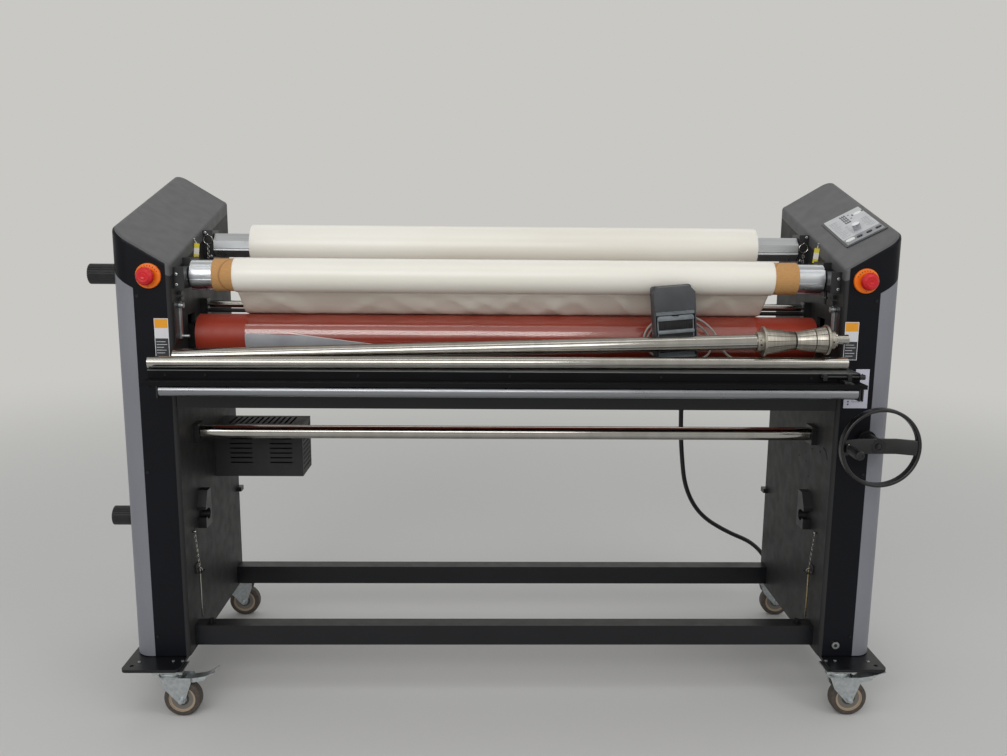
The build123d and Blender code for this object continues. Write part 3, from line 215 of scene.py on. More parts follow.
def wound_film(name, centre, colour, shade):
    """Polyester film wound on itself: a soft satin outside, and fine rings on its cut ends, drawn 1.5 mm
    apart, as coarse as they need to show."""
    film = Finish(name, 0.38, ior=1.57, **{"Coat Weight": 0.15})
    layers = film.add("Math", {0: film.off_axis(centre, (0, 1, 1)), 1: 4200.0}, operation="MULTIPLY")
    rings = film.add("Math", {0: layers}, operation="SINE")
    return film.dress(film.between(film.grain(140, 3, (4, 1, 1)), 0.35, 0.65, colour, shade), rings, 0.05, 0.25)


def spiral_cardboard(name):
    """Spirally wound kraft board: brown fibre with a slanted butt seam every 60 mm."""
    board = Finish(name, 0.85, ior=1.45)
    fibre = board.between(board.grain(1.2, 6, (6, 1, 1)), 0.3, 0.7, "cb9b64", "b88953")
    slanted = board.add("Mapping", {"Vector": board.place, "Rotation": (0, 0, math.radians(35))})
    seam = board.add("TexWave", {"Vector": slanted, "Scale": 5.2, "Distortion": 0.2}, "Fac")
    return board.dress(board.between(seam, 0.02, 0.0, fibre, "a5764a"), board.grain(0.9, 4), 0.05, 0.5)


def clear_film(name):
    """Clear polyester film: its two faces mirror about a tenth of the light, and the rest goes through."""
    film = Finish(name, 0.12, metallic=1.0, Alpha=0.065)
    return film.dress("f2efec", film.grain(90, 1, (1, 6, 6)), 0.2, 0.2)


def caster_bands(name, centre):
    """Rubber tyre, tan wear ring and grey plastic hub of one caster wheel, by distance from its axle."""
    wheel = Finish(name, 0.6)
    out = wheel.off_axis(centre, (1, 0, 1))
    colour = wheel.between(wheel.grain(9, 5), 0.35, 0.65, "3b3632", "4f453d")
    for low, high, inside in ((34.2, 34.6, "a8967f"), (28.4, 28.8, "6f6b65"), (17.6, 18, "3f3d3b"),
                              (11.4, 11.6, "9da1a2")):
        colour = wheel.between(out, mm(low), mm(high), inside, colour)
    return wheel.dress(colour, wheel.grain(1), 0.08)


def ground_silicone(name, silicone):
    """Ground silicone, dusty and faintly ringed, and turned steel past its two ends."""
    bar = Finish(name, 0.5)
    across = bar.add("SeparateXYZ", {"Vector": bar.place}, "X")
    off = bar.add("Math", {0: across, 1: middle_x}, operation="SUBTRACT")
    out = bar.add("Math", {0: off}, operation="ABSOLUTE")
    edge = (mm(SILICONE_END), mm(SILICONE_END + 0.4))
    rings = bar.grain(2.5, 2, (1, 60, 60))
    body = bar.between(bar.grain(150, 4), 0.3, 0.7, silicone, tinted(silicone, 0.82))
    dust = bar.between(bar.grain(1.8, 3, (5, 1, 1)), 0.7, 0.82, body, "b47466")
    return bar.dress(bar.between(out, *edge, dust, "a3a39f"), rings, 0.03, 0.5,
                     Metallic=bar.between(out, *edge, 0, 1),
                     Roughness=bar.between(rings, 0.3, 0.7, 0.4, 0.55))


def two_zones(name, cut, below, above, gloss=0.5):
    """Steel work of two finishes, changing at the height cut. Each is (colour, shade, metallic, roughness)."""
    work = Finish(name, 0.4, **{"Specular IOR Level": gloss})
    height = work.add("SeparateXYZ", {"Vector": work.place}, "Z")
    edge = (mm(cut), mm(cut + 0.3))
    mottle = work.grain(18, 4, (4, 1, 1))
    low, high = (work.between(mottle, 0.3, 0.7, *zone[:2]) for zone in (below, above))
    metallic, roughness = (work.between(height, *edge, below[part], above[part]) for part in (2, 3))
    return work.dress(work.between(height, *edge, low, high), work.grain(1.2), 0.03, Metallic=metallic,
                      Roughness=roughness)


# Each finish by what the real one is, with the function that makes it and that function's values.
FINISHES = {
    # Handled steel is near mirror. Its rings are drawn as coarse as they need to show.
    "polished_steel": (metal, "b3b0aa", "aaa7a1", 0.13, (1, 60, 60), 30, 0),
    # Zinc plating looks pale, cloudy and half dull.
    "bright_zinc": (metal, "c6cbcd", "b3b9bb", 0.42, (1, 1, 1), 9, 0.01),
    "drawn_brass": (metal, "b7a67c", "a09069", 0.3, (1, 1, 40), 1.5, 0.01),
    # The chuck shows warm, coarse turning marks.
    "turned_cast_aluminium": (metal, "b9b4aa", "a19c92", 0.36, (1, 30, 30), 2.2, 0.02),
    # Drawn bars have long, faint lines and a soft shine.
    "satin_aluminium": (metal, "94969a", "8b8d91", 0.3, (60, 1, 1), 5, 0.002),
    "mill_aluminium": (metal, "cdd0d3", "c3c6ca", 0.3, (60, 1, 1), 6, 0.003),
    # Anodised aluminium is a satin black with a faint machined grain. Cast and wrinkled coats are rougher.
    "black_anodised": (paint, "121213", "1b1b1d", 0.34, 1.2, 0.02, 40),
    "black_enamel_casting": (paint, "111112", "1b1b1c", 0.32, 1.3, 0.06, 60),
    "black_wrinkle_coat": (paint, "19191a", "232324", 0.55, 1.4, 0.12),
    # Hammered paint has a dimpled, broken shine, and a torn film's grey side a creased one.
    "grey_hammered_paint": (paint, "383a3d", "434548", 0.5, 2.4, 0.16, 40),
    "pale_grey_hammered_paint": (paint, "63696d", "767c80", 0.42, 2.0, 0.14, 24),
    "torn_white_film": (paint, "a9aaad", "98999d", 0.35, 3, 0.15, 60),
    # Moulded plastics are even, with a fine grit.
    # This black also draws the hex sockets of the screws and a bolt, as painted shade of their recesses.
    "moulded_black_nylon": (plastic, "151516", "202022", 0.42),
    "white_abs": (plastic, "dcdcd8", "e4e4e0", 0.35),
    "orange_abs": (plastic, "ef6e06", "f4790f", 0.36),
    "red_abs": (plastic, "c4141d", "cf1d25", 0.3),
    "black_pvc_sheath": (plastic, "17171a", "222226", 0.5, 1.5, 0.03),
    "grey_pvc_sheath": (plastic, "a9a6a0", "98958f", 0.42, 1.2, 0.02),
    "ribbed_rubber_pad": (plastic, "121213", "1c1c1e", 0.6, 1.6, 0.06),
    # Inks, vinyls, card and a film's torn edge are flat and even. The holes' shade is the dark they show.
    "torn_edge_white": (print_coat, "e4dfdb"),
    "black_print": (print_coat, "222326"),
    "white_print": (print_coat, "e6e6e4"),
    "grey_print": (print_coat, "54565a"),
    "white_vinyl": (print_coat, "d3d3d6"),
    "amber_vinyl": (print_coat, "e39a1c"),
    "dark_vinyl": (print_coat, "2b2c30"),
    "lilac_grey_vinyl": (print_coat, "bfc0cc"),
    "dark_red_vinyl": (print_coat, "5c0f16"),
    "white_card": (print_coat, "dcdbd0", 0.6),
    "yellow_card": (print_coat, "d6c52e", 0.6),
    "hole_shade": (print_coat, "08080a", 0.8),
    "kraft_board": (spiral_cardboard,),
    "clear_polyester": (clear_film,),
    # Black enamel, worn to bare steel along the table's raised edge, and plated screws under black ones.
    "table_enamel_and_steel": (two_zones, 926.3, ("0b0b0d", "101013", 0.0, 0.42),
                               ("9b9c9b", "84868a", 1.0, 0.34), 0.12),
    "plated_and_black_screws": (two_zones, 183, ("a9afb1", "bdbfba", 1.0, 0.34),
                                ("1a1a1b", "262627", 0.6, 0.4)),
}


def finish(wanted):
    """Material by its name, made the first time that it is asked for. A material is given back as it is."""
    if isinstance(wanted, bpy.types.Material):
        return wanted
    make, *values = FINISHES[wanted]
    return bpy.data.materials.get(wanted) or make(wanted, *values)


def colour_prop(name, description, hex_colour):
    return bpy.props.FloatVectorProperty(name=name, description=description, subtype="COLOR", size=4,
                                         min=0.0, max=1.0, default=to_linear(hex_colour))


def length_prop(name, description, default, low, high):
    return bpy.props.FloatProperty(name=name, description=description, default=default, min=low, max=high,
                                   unit="LENGTH")


class LaminatorLook(bpy.types.PropertyGroup):
    """Sizes and colours that someone may want to change"""
    roof_colour: colour_prop("Roof paint", "Charcoal powder coat of both sloping roofs", "565657")
    # The side plates are the roofs' charcoal, painted darker: painted shade of the plates between the cabinets.
    plate_colour: colour_prop("Side plate paint", "Darker charcoal of the inner side plates", "303030")
    front_colour: colour_prop("Front panel paint", "Blue-black paint of the cabinet fronts", "101116")
    cover_colour: colour_prop("Outer cover paint", "Silver powder coat of the outer covers", "7d7e85")
    beam_colour: colour_prop("Beam paint", "Enamel of the stretcher beams and foot plates", "0e0f13")
    roller_colour: colour_prop("Silicone", "Cover of the heated and pull rollers", "a2351f")
    floor_colour: colour_prop("Floor", "Plain studio floor", "d2d1ce")
    mains_width: length_prop("Mains lead", "Diameter of the mains lead", 0.014, 0.006, 0.02)
    switch_width: length_prop("Foot switch cord", "Diameter of the foot switch cord", 0.0055, 0.003, 0.01)
    relief_length: length_prop("Strain relief", "Length of the mains strain relief", 0.045, 0.02, 0.06)
    link_length: length_prop("Chain link", "Length of one link of the pin chains", 0.0105, 0.006, 0.02)
    petals: bpy.props.IntProperty(name="Chuck petals", description="Segments of the expanding core chuck",
                                  default=14, min=8, max=20)


def look():
    return bpy.context.scene.laminator_look


def frame_at(origin=(0, 0, 0), x_axis=(1, 0, 0), z_axis=(0, 0, 1)):
    """Matrix from a piece's own millimetres to metres in the part's frame."""
    z = Vector(z_axis).normalized()
    x = Vector(x_axis)
    x = (x - z * x.dot(z)).normalized()
    turn = Matrix((x, z.cross(x), z)).transposed().to_4x4()
    return Matrix.Translation(spot(*origin)) @ turn @ Matrix.Scale(0.001, 4)


def along_shaft(y, z):
    """Matrix for a piece turned about a shaft that runs across the machine."""
    return frame_at((0, y, z), (0, 0, 1), (1, 0, 0))


def lifted(z):
    return Matrix.Translation((0, 0, z))


def upright(y=0):
    """Matrix that stands an outline up, as seen from the front, and raises it forwards from y."""
    return Matrix(((1, 0, 0, 0), (0, 0, -1, y), (0, 1, 0, 0), (0, 0, 0, 1)))


def edges_of(verts):
    return {edge for vert in verts for edge in vert.link_edges}


def mark(verts, material):
    for face in {face for vert in verts for face in vert.link_faces}:
        face.material_index = material


def soften(bm, edges, bevel, segments=2):
    """Rounds edges, unless bevel is 0."""
    if bevel:
        bmesh.ops.bevel(bm, geom=list(edges), offset=bevel, segments=segments, profile=0.5, affect="EDGES",
                        material=-1)


def box(bm, low, high, bevel=0.0, material=0, segments=2, turn=Matrix()):
    """Block between two corners, with rounded edges."""
    low, high = Vector(low), Vector(high)
    size = [abs(b - a) for a, b in zip(low, high)]
    shape = turn @ Matrix.Translation((low + high) / 2) @ Matrix.Diagonal((*size, 1))
    verts = bmesh.ops.create_cube(bm, size=1, matrix=shape)["verts"]
    mark(verts, material)
    soften(bm, edges_of(verts), bevel, segments)


def rod(bm, start, end, radius, bevel=0.0, material=0, segments=32):
    """Round bar between two points, or a polygonal one of few segments."""
    start, end = Vector(start), Vector(end)
    turn = (end - start).to_track_quat("Z", "Y").to_matrix().to_4x4()
    verts = bmesh.ops.create_cone(bm, cap_ends=True, segments=segments, radius1=radius, radius2=radius,
                                  depth=(end - start).length,
                                  matrix=Matrix.Translation((start + end) / 2) @ turn)["verts"]
    mark(verts, material)
    rims = [edge for edge in edges_of(verts) if any(len(face.verts) > 4 for face in edge.link_faces)]
    soften(bm, rims, bevel)


def turned(bm, outline, origin=(0, 0, 0), axis=(0, 0, 1), steps=48, material=0, closed=False, angle=360):
    """Outline of (radius, along) points spun about an axis."""
    axis, origin = Vector(axis).normalized(), Vector(origin)
    side = axis.orthogonal().normalized()
    rim = [bm.verts.new(origin + side * radius + axis * along) for radius, along in outline]
    edges = [bm.edges.new(pair) for pair in zip(rim, rim[1:] + rim[:1] if closed else rim[1:])]
    before = set(bm.faces)
    if angle < 360:
        rim = [bm.faces.new(rim)]
        edges = []
    bmesh.ops.spin(bm, geom=rim + edges, cent=origin, axis=axis, angle=math.radians(angle), steps=steps,
                   use_merge=angle == 360)
    for face in set(bm.faces) - before:
        face.material_index = material


def drawn_out(bm, geom, along, steps):
    """Vertices and edges swept in a straight line, in steps."""
    bmesh.ops.spin(bm, geom=geom, cent=(0, 0, 0), axis=(1, 0, 0), angle=0,
                   dvec=[part / steps for part in along], steps=steps)


def chain_of_points(bm, points):
    """Vertices at points, and the edges between them."""
    rim = [bm.verts.new(point) for point in points]
    return rim + [bm.edges.new(pair) for pair in zip(rim, rim[1:])]


def ring(bm, origin, axis, major, minor, material=0, steps=32, sides=10):
    """Round bar bent into a ring."""
    section = [(major + minor * math.cos(2 * math.pi * i / sides), minor * math.sin(2 * math.pi * i / sides))
               for i in range(sides)]
    turned(bm, section, origin, axis, steps, material, closed=True)


def prism(bm, outline, depth, place=Matrix(), bevel=0.0, material=0):
    """Flat outline raised along its own Z, set down by a matrix."""
    face = bm.faces.new([bm.verts.new(place @ Vector((x, y, 0))) for x, y in outline])
    made = bmesh.ops.extrude_face_region(bm, geom=[face])["geom"]
    raised = [item for item in made if isinstance(item, bmesh.types.BMVert)]
    bmesh.ops.translate(bm, vec=place.to_3x3() @ Vector((0, 0, depth)), verts=raised)
    mark(raised + list(face.verts), material)
    caps = {f for v in raised for f in v.link_faces if len(f.verts) == len(outline)}
    soften(bm, [edge for cap in caps for edge in cap.edges], bevel)


def rounded(width, height, corner, middle=(0, 0), steps=6):
    """Outline of a rectangle with round corners, about its middle."""
    points = []
    for quarter, (sx, sy) in enumerate(((1, 1), (-1, 1), (-1, -1), (1, -1))):
        for step in range(steps + 1):
            turn = math.radians(90 * (quarter + step / steps))
            points.append((middle[0] + sx * (width / 2 - corner) + corner * math.cos(turn),
                           middle[1] + sy * (height / 2 - corner) + corner * math.sin(turn)))
    return points


def stamp(bm, mesh, place):
    """Adds a copy of a mesh, set by a matrix."""
    before = set(bm.verts)
    bm.from_mesh(mesh)
    bmesh.ops.transform(bm, matrix=place, verts=[vert for vert in bm.verts if vert not in before])


def to_mesh(name, bm):
    mesh = bpy.data.meshes.new(name)
    bm.to_mesh(mesh)
    bm.free()
    return mesh


def put(name, data):
    """Object of a mesh, curve, lamp or camera, in the scene."""
    made = bpy.data.objects.new(name, data)
    bpy.context.collection.objects.link(made)
    return made


def settle(name, bm, materials, body, place=None, node=None, crease=38.0, recalculate=True):
    """Finishes a piece: closes it, points its faces outwards, sets it in place and lets it ride. A piece given no
    body is left unattached."""
    bmesh.ops.remove_doubles(bm, verts=bm.verts, dist=0.002)
    if recalculate:
        bmesh.ops.recalc_face_normals(bm, faces=bm.faces)
    bmesh.ops.transform(bm, matrix=place or frame_at(), verts=bm.verts)
    for face in bm.faces:
        face.smooth = True
    for edge in bm.edges:
        edge.smooth = edge.calc_face_angle(math.pi) < math.radians(crease)
    piece = put(name, to_mesh(name, bm))
    for material in materials:
        piece.data.materials.append(finish(material))
    if body:
        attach(piece, body)
    if node:
        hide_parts(node)
    return piece


def coat_nodes(nodes, material):
    """Gives the CAD nodes that a string names their finish."""
    for node in nodes.split():
        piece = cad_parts[node]
        if not piece.material_slots:
            piece.data.materials.append(finish(material))
        for held in piece.material_slots:
            held.material = finish(material)


class MakeStage(bpy.types.Operator):
    """Plain floor, soft studio light and the camera at the photograph's angle"""
    bl_idname = "laminator.stage"
    bl_label = "Stage"

    def execute(self, context):
        lay_floor()
        light_world(context.scene)
        for name, place, size, power, aim in (
                ("key", (-0.9, -3.6, 2.5), (3.2, 1.6), 50, (0, 0.1, 0.8)),
                ("side", (2.6, -2.4, 2.6), (1.4, 2.0), 12, (0, 0, 0.8)),
                ("strip_front", (0.2, -1.1, 3.3), (4.2, 0.35), 8, (0, 0.0, 0.9)),
                ("strip_back", (0.0, 1.7, 3.1), (4.2, 0.5), 7, (0, 0.1, 1.0))):
            lamp = bpy.data.lights.new(name, "AREA")
            lamp.shape = "RECTANGLE"
            lamp.size, lamp.size_y = size
            lamp.energy = power
            light = put(name, lamp)
            light.location = place
            light.rotation_euler = (Vector(aim) - Vector(place)).to_track_quat("-Z", "Y").to_euler()
        context.scene.camera = aimed_camera()
        context.scene.view_settings.view_transform = "Standard"
        return {"FINISHED"}


def lay_floor():
    """Floor that keeps the machine's shadow, and fades to the backdrop where only the camera sees it."""
    bm = bmesh.new()
    bmesh.ops.create_grid(bm, x_segments=1, y_segments=1, size=9)
    floor = put("floor", to_mesh("floor", bm))
    ground = Finish("studio_floor", 0.75)
    away = ground.add("VectorMath", {0: ground.place}, "Value", operation="LENGTH")
    far = ground.add("MapRange", {"Value": away, "From Min": 1.6, "From Max": 6.0},
                     interpolation_type="SMOOTHSTEP")
    seen = ground.add("LightPath", out="Is Camera Ray")
    share = ground.add("Math", {0: far, 1: seen}, operation="MULTIPLY")
    pale = ground.add("Emission", {"Color": BACKDROP, "Strength": 1.0})
    both = ground.add("MixShader", {0: share, 1: ground.surface, 2: pale})
    feed(ground.tree, ground.output, {"Surface": both})
    floor.data.materials.append(ground.dress(look().floor_colour))


def light_world(scene):
    """Pale world that the camera and the shiny pieces see, and that lights the scene softly."""
    scene.world = world = bpy.data.worlds.new("studio")
    world.use_nodes = True
    tree = world.node_tree
    tree.nodes.clear()
    path = add_node(tree, "LightPath").node.outputs
    seen = path["Is Camera Ray"]
    for ray in ("Is Glossy Ray", "Is Transmission Ray"):
        seen = add_node(tree, "Math", {0: seen, 1: path[ray]}, operation="MAXIMUM")
    soft = add_node(tree, "Background", {"Color": "eef0f2", "Strength": 0.62})
    pale = add_node(tree, "Background", {"Color": BACKDROP, "Strength": 1.0})
    add_node(tree, "OutputWorld", {"Surface": add_node(tree, "MixShader", {0: seen, 1: soft, 2: pale})})


def aimed_camera():
    """Camera solved from the machine's straight edges in the photograph."""
    lens = bpy.data.cameras.new("camera")
    lens.lens = FOCAL_LENGTH
    lens.sensor_fit = "HORIZONTAL"
    lens.sensor_width = SENSOR_WIDTH
    camera = put("camera", lens)
    pitch, yaw, roll = (math.radians(angle) for angle in CAMERA_ANGLES)
    ahead = Vector((math.sin(yaw) * math.cos(pitch), math.cos(yaw) * math.cos(pitch), -math.sin(pitch)))
    level = Vector((math.cos(yaw), -math.sin(yaw), 0))
    above = level.cross(ahead)
    right = level * math.cos(roll) + above * math.sin(roll)
    up = above * math.cos(roll) - level * math.sin(roll)
    turn = Matrix((right, up, -ahead)).transposed().to_4x4()
    camera.matrix_world = Matrix.Translation(CAMERA_PLACE) @ turn
    return camera


class FinishFrame(bpy.types.Operator):
    """Paints, plating and polish of the CAD pieces whose shape is right"""
    bl_idname = "laminator.finish_frame"
    bl_label = "Frame finishes"

    def execute(self, context):
        chosen = look()
        for name, colour, tint, values, nodes in (
                ("charcoal_powder_coat", chosen.roof_colour, 0.93, (0.5, 0.9, 0.05, 320), "top_covers"),
                # The side plates' coat is the roofs' charcoal painted darker, as painted shade.
                ("dark_powder_coat", chosen.plate_colour, 0.82, (0.45, 0.9, 0.05, 260, 0.2), "side_plates"),
                ("blue_black_enamel", chosen.front_colour, 1.25, (0.38, 0.8, 0.03, 300, 0.13), "front_panels"),
                ("silver_powder_coat", chosen.cover_colour, 0.92, (0.42, 0.7, 0.04, 260), "side_covers"),
                ("beam_enamel", chosen.beam_colour, 1.3, (0.33, 0.9, 0.04, 160, 0.4), "base_frame table_beam")):
            coat_nodes(nodes, paint(name, colour, tinted(colour, tint), *values))
        coat_nodes("top_roller bottom_roller pull_roller_upper pull_roller_lower",
                   ground_silicone("ground_silicone", chosen.roller_colour))
        for name, nodes in (
                ("black_wrinkle_coat", "drive_box"), ("satin_aluminium", "table_idler"),
                ("mill_aluminium", "front_supply_shaft rear_supply_shaft speed_knob"),
                ("table_enamel_and_steel", "feed_table"), ("plated_and_black_screws", "frame_hardware"),
                ("orange_abs", "stop_collars"), ("white_abs", "panel_button_1"),
                ("black_anodised",
                 "shaft_brackets lower_saddles nip_carriage supply_lock_lever table_latch_pin"),
                ("polished_steel", "lower_shaft chrome_idler loose_shaft_front loose_shaft_rear"),
                ("bright_zinc", "left_link_lever right_link_lever"),
                ("moulded_black_nylon",
                 "upper_tension_knob lower_tension_knob panel_button_2 panel_button_3 panel_button_4")):
            coat_nodes(nodes, name)
        for corner in ("front_left", "front_right", "rear_left", "rear_right"):
            coat_nodes(f"caster_fork_{corner}", "bright_zinc")
            low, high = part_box(f"caster_wheel_{corner}")
            coat_nodes(f"caster_wheel_{corner}", caster_bands(f"caster_tyre_{corner}", (low + high) / 2))
        return {"FINISHED"}


class MakeCords(bpy.types.Operator):
    """Mains lead with its strain relief and plug, and the foot switch's cord"""
    bl_idname = "laminator.cords"
    bl_label = "Cords"

    def execute(self, context):
        chosen = look()
        mains = cord_line("mains_lead", MAINS_POINTS, chosen.mains_width, "black_pvc_sheath",
                          "mains_cord")
        relief = strain_relief((552, 510, 750), (0, 0, -1), chosen.mains_width * 1000, "moulded_black_nylon",
                               "mains_relief", chosen.relief_length * 1000)
        plug()
        flex = cord_line("switch_flex", SWITCH_POINTS, chosen.switch_width, "grey_pvc_sheath",
                         "foot_switch_cord")
        sleeve = strain_relief((430, 42, 951), (0, 1, 0), chosen.switch_width * 1000 * 1.15, "grey_pvc_sheath",
                               "switch_relief", 16, ribs=3)
        return {"FINISHED"}


def cord_line(name, points, width, material, node):
    """Cord on one open spline, whose control points are the route's."""
    curve = bpy.data.curves.new(name, "CURVE")
    curve.dimensions = "3D"
    curve.bevel_depth = width / 2
    curve.bevel_resolution = 6
    curve.resolution_u = 10
    curve.use_fill_caps = True
    spline = curve.splines.new("NURBS")
    spline.points.add(len(points) - 1)
    for held, place in zip(spline.points, points):
        held.co = (*spot(*place), 1)
    spline.order_u = 3
    spline.use_endpoint_u = True
    curve.materials.append(finish(material))
    cord = put(name, curve)
    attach(cord, "frame")
    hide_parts(node)
    return cord


def strain_relief(place, axis, width, material, name, length, ribs=5):
    """Tapered sleeve where a cord leaves its housing, ringed so that it bends."""
    outline = [(0, 0), (width * 0.95, 0), (width * 0.95, length * 0.1)]
    for rib in range(ribs):
        for share, part in ((0.1, 0.0), (0.25, 1.0), (0.8, 1.0), (0.95, 0.0)):
            along = 0.12 + 0.83 * (rib + share) / ribs
            outline.append((width * (0.86 - 0.3 * along) + part * width * 0.08, length * along))
    outline += [(width * 0.55, length), (0, length)]
    bm = bmesh.new()
    turned(bm, outline, steps=32)
    return settle(name, bm, [material], "frame", place=frame_at(place, (1, 0, 0), axis), crease=50)


def plug():
    """Moulded mains plug with finger ribs, a collar where the lead enters, and two blades."""
    before, last = (Vector(place) for place in MAINS_POINTS[-2:])
    bm = bmesh.new()
    prism(bm, rounded(14, 30, 4), 44, bevel=1.5)
    box(bm, (-4.5, -9, 2), (4.5, 9, 10), 2)
    for along in (14, 20, 26, 32):
        for side in (-1, 1):
            box(bm, (-5, side * 14.2, along), (5, side * 15.2, along + 2.4), 0.5)
    for side in (-1, 1):
        box(bm, (-3.15, side * 6.5 - 0.75, 43), (3.15, side * 6.5 + 0.75, 61), 0.3, material=1)
    return settle("lead_plug", bm, ["moulded_black_nylon", "bright_zinc"], "frame",
                  place=frame_at(last, (0, 0, 1), last - before), node="mains_plug")


class MakeFilm(bpy.types.Operator):
    """Film rolls, the cardboard core, the hanging web and the clear film on the top roller"""
    bl_idname = "laminator.film"
    bl_label = "Film"

    def execute(self, context):
        film_roll("front_film", FRONT_SUPPLY, 44, 41.7, -700, 679, "front_supply", "front_film_roll", 0.25)
        film_roll("rear_film", REAR_SUPPLY, 58, 37, -705, 689, "rear_supply", "rear_film_roll", 0.2)
        bm = bmesh.new()
        turned(bm, [(38.2, -752), (40.9, -752), (41.5, -751.2), (41.5, 740.2), (40.9, 741), (38.2, 741)],
               steps=64, closed=True)
        settle("front_core", bm, ["kraft_board"], "front_supply", place=along_shaft(*FRONT_SUPPLY))
        hang_web()
        wrap_roller()
        return {"FINISHED"}


def film_roll(name, axis, radius, bore, left, right, body, node, slack):
    """Film wound on a core. Its ends step in and out a little, as hand-set rolls do."""
    chance = random.Random(name)
    outline = [(bore, left)]
    for step in range(1, 8):
        outline.append((bore + (radius - bore) * step / 8, left + chance.uniform(-0.5, 1.2)))
    outline += [(radius - 0.9, left), (radius - 0.2, left + 2.5)]
    for step in range(1, 24):
        outline.append((radius - chance.uniform(0, slack), left + (right - left) * step / 24))
    outline += [(radius - 0.2, right - 2.5), (radius - 0.9, right)]
    for step in range(7, 0, -1):
        outline.append((bore + (radius - bore) * step / 8, right + chance.uniform(-1.2, 0.5)))
    outline.append((bore, right))
    bm = bmesh.new()
    turned(bm, outline, steps=72, closed=True)
    film = wound_film(f"polyester_film_{name}", spot(0, *axis), "f1ede3", "e9e4d8")
    settle(name, bm, [film], body, place=along_shaft(*axis), node=node, crease=60)


def hang_web():
    """Slack film that hangs from under the front roll to the top roller's crown."""
    top, fall, left, width, columns = 94, 64, -697, 1372, 274
    path = ((top, 1098.7), (101, 1093), (109, 1084.5), (118, 1074.5), (127, 1064), (136, 1053.8), (145, 1044.6),
            (153, 1039.4), (161, 1038), (169, 1036.6), (176, 1033.2))
    bm = bmesh.new()
    drawn_out(bm, chain_of_points(bm, [(left, y, z) for y, z in path]), (width, 0, 0), columns)
    chance = random.Random("web folds")
    folds = [(chance.uniform(-690, 670), chance.choice((-1, 1)) * chance.uniform(60, 190),
              chance.uniform(9, 22), chance.uniform(1.2, 3.4)) for number in range(34)]
    for vert in bm.verts:
        x, y, z = vert.co
        share = min(1, (y - top) / fall)
        loose = math.sin(math.pi * share)
        fold = sum(high * math.exp(-((x - start - slant * share) / wide) ** 2)
                   for start, slant, wide, high in folds)
        sway = 1.8 * math.sin(x / 97 + share * 4.2)
        vert.co.x = x * (1 - 0.009 * share)
        vert.co.y -= loose * (2 + sway + fold)
        vert.co.z += loose * 0.7 * (sway - fold)
    # The web's colours are the rolls' film painted darker: painted shade of the slack web that hangs in shade
    # under the front roll.
    film = wound_film("polyester_web", spot(0, *FRONT_SUPPLY), "e2dccf", "d2cabb")
    bmesh.ops.solidify(bm, geom=bm.faces[:], thickness=0.3)
    web = settle("film_web_sheet", bm, [film], None, node="film_web", crease=100)
    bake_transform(web)


def wrap_roller():
    """Clear film stretched round the front of the top roller, with a grey scrap caught in it."""
    clear = around("clear_wrap", 55.75, -684, 652, 90, 160, "clear_polyester", 0.25, "film_wrap",
                   lead=15)
    torn = around("torn_film", 56.6, -684, -322, 168.8, 66, "torn_white_film", 0.3,
                  cuts=(((-684, 95, 992), (5, 0, 153)), ((-531, 95, 987), (19, 0, 151)),
                        ((-380, 95, 968), (23, 0, 58))))
    lip = around("torn_lip", 57.0, -640, -346, 166, 50, "torn_edge_white", 0.3,
                 cuts=(((-531, 95, 988.6), (19, 0, 151)), ((-531, 95, 987.2), (-19, 0, -151))))


def around(name, radius, left, right, start, sweep, material, thick, node=None, lead=0, cuts=()):
    """Sheet round part of the top roller, from the angle start, with a flat lead behind the crown. cuts
    are (point, direction out) of the planes past which it is cut off."""
    y_axis, z_axis = TOP_ROLLER
    centre = Vector((left, y_axis, z_axis))
    turn = Matrix.Rotation(math.radians(start), 4, "X")
    bm = bmesh.new()
    vert = bm.verts.new(centre + turn @ Vector((0, radius, 0)))
    bmesh.ops.spin(bm, geom=[vert], cent=centre, axis=(1, 0, 0), angle=math.radians(sweep), steps=40)
    if lead:
        back = bm.verts.new(vert.co + Vector((0, lead, 0)))
        bm.edges.new((back, vert))
    drawn_out(bm, bm.verts[:] + bm.edges[:], (right - left, 0, 0), 60)
    for through, off in cuts:
        bmesh.ops.bisect_plane(bm, geom=bm.verts[:] + bm.edges[:] + bm.faces[:], plane_co=through,
                               plane_no=off, clear_outer=True)
    for vert in bm.verts:
        x, y, z = vert.co
        lift = 0.12 * (1 + math.sin(x / 41 + z / 17))
        vert.co += Vector((0, y - y_axis, z - z_axis)).normalized() * lift
    piece = settle(name, bm, [material], "nip_carriage", node=node, crease=180, recalculate=False)
    wall = piece.modifiers.new("thickness", "SOLIDIFY")
    wall.thickness = mm(thick)
    wall.offset = 1
    return piece


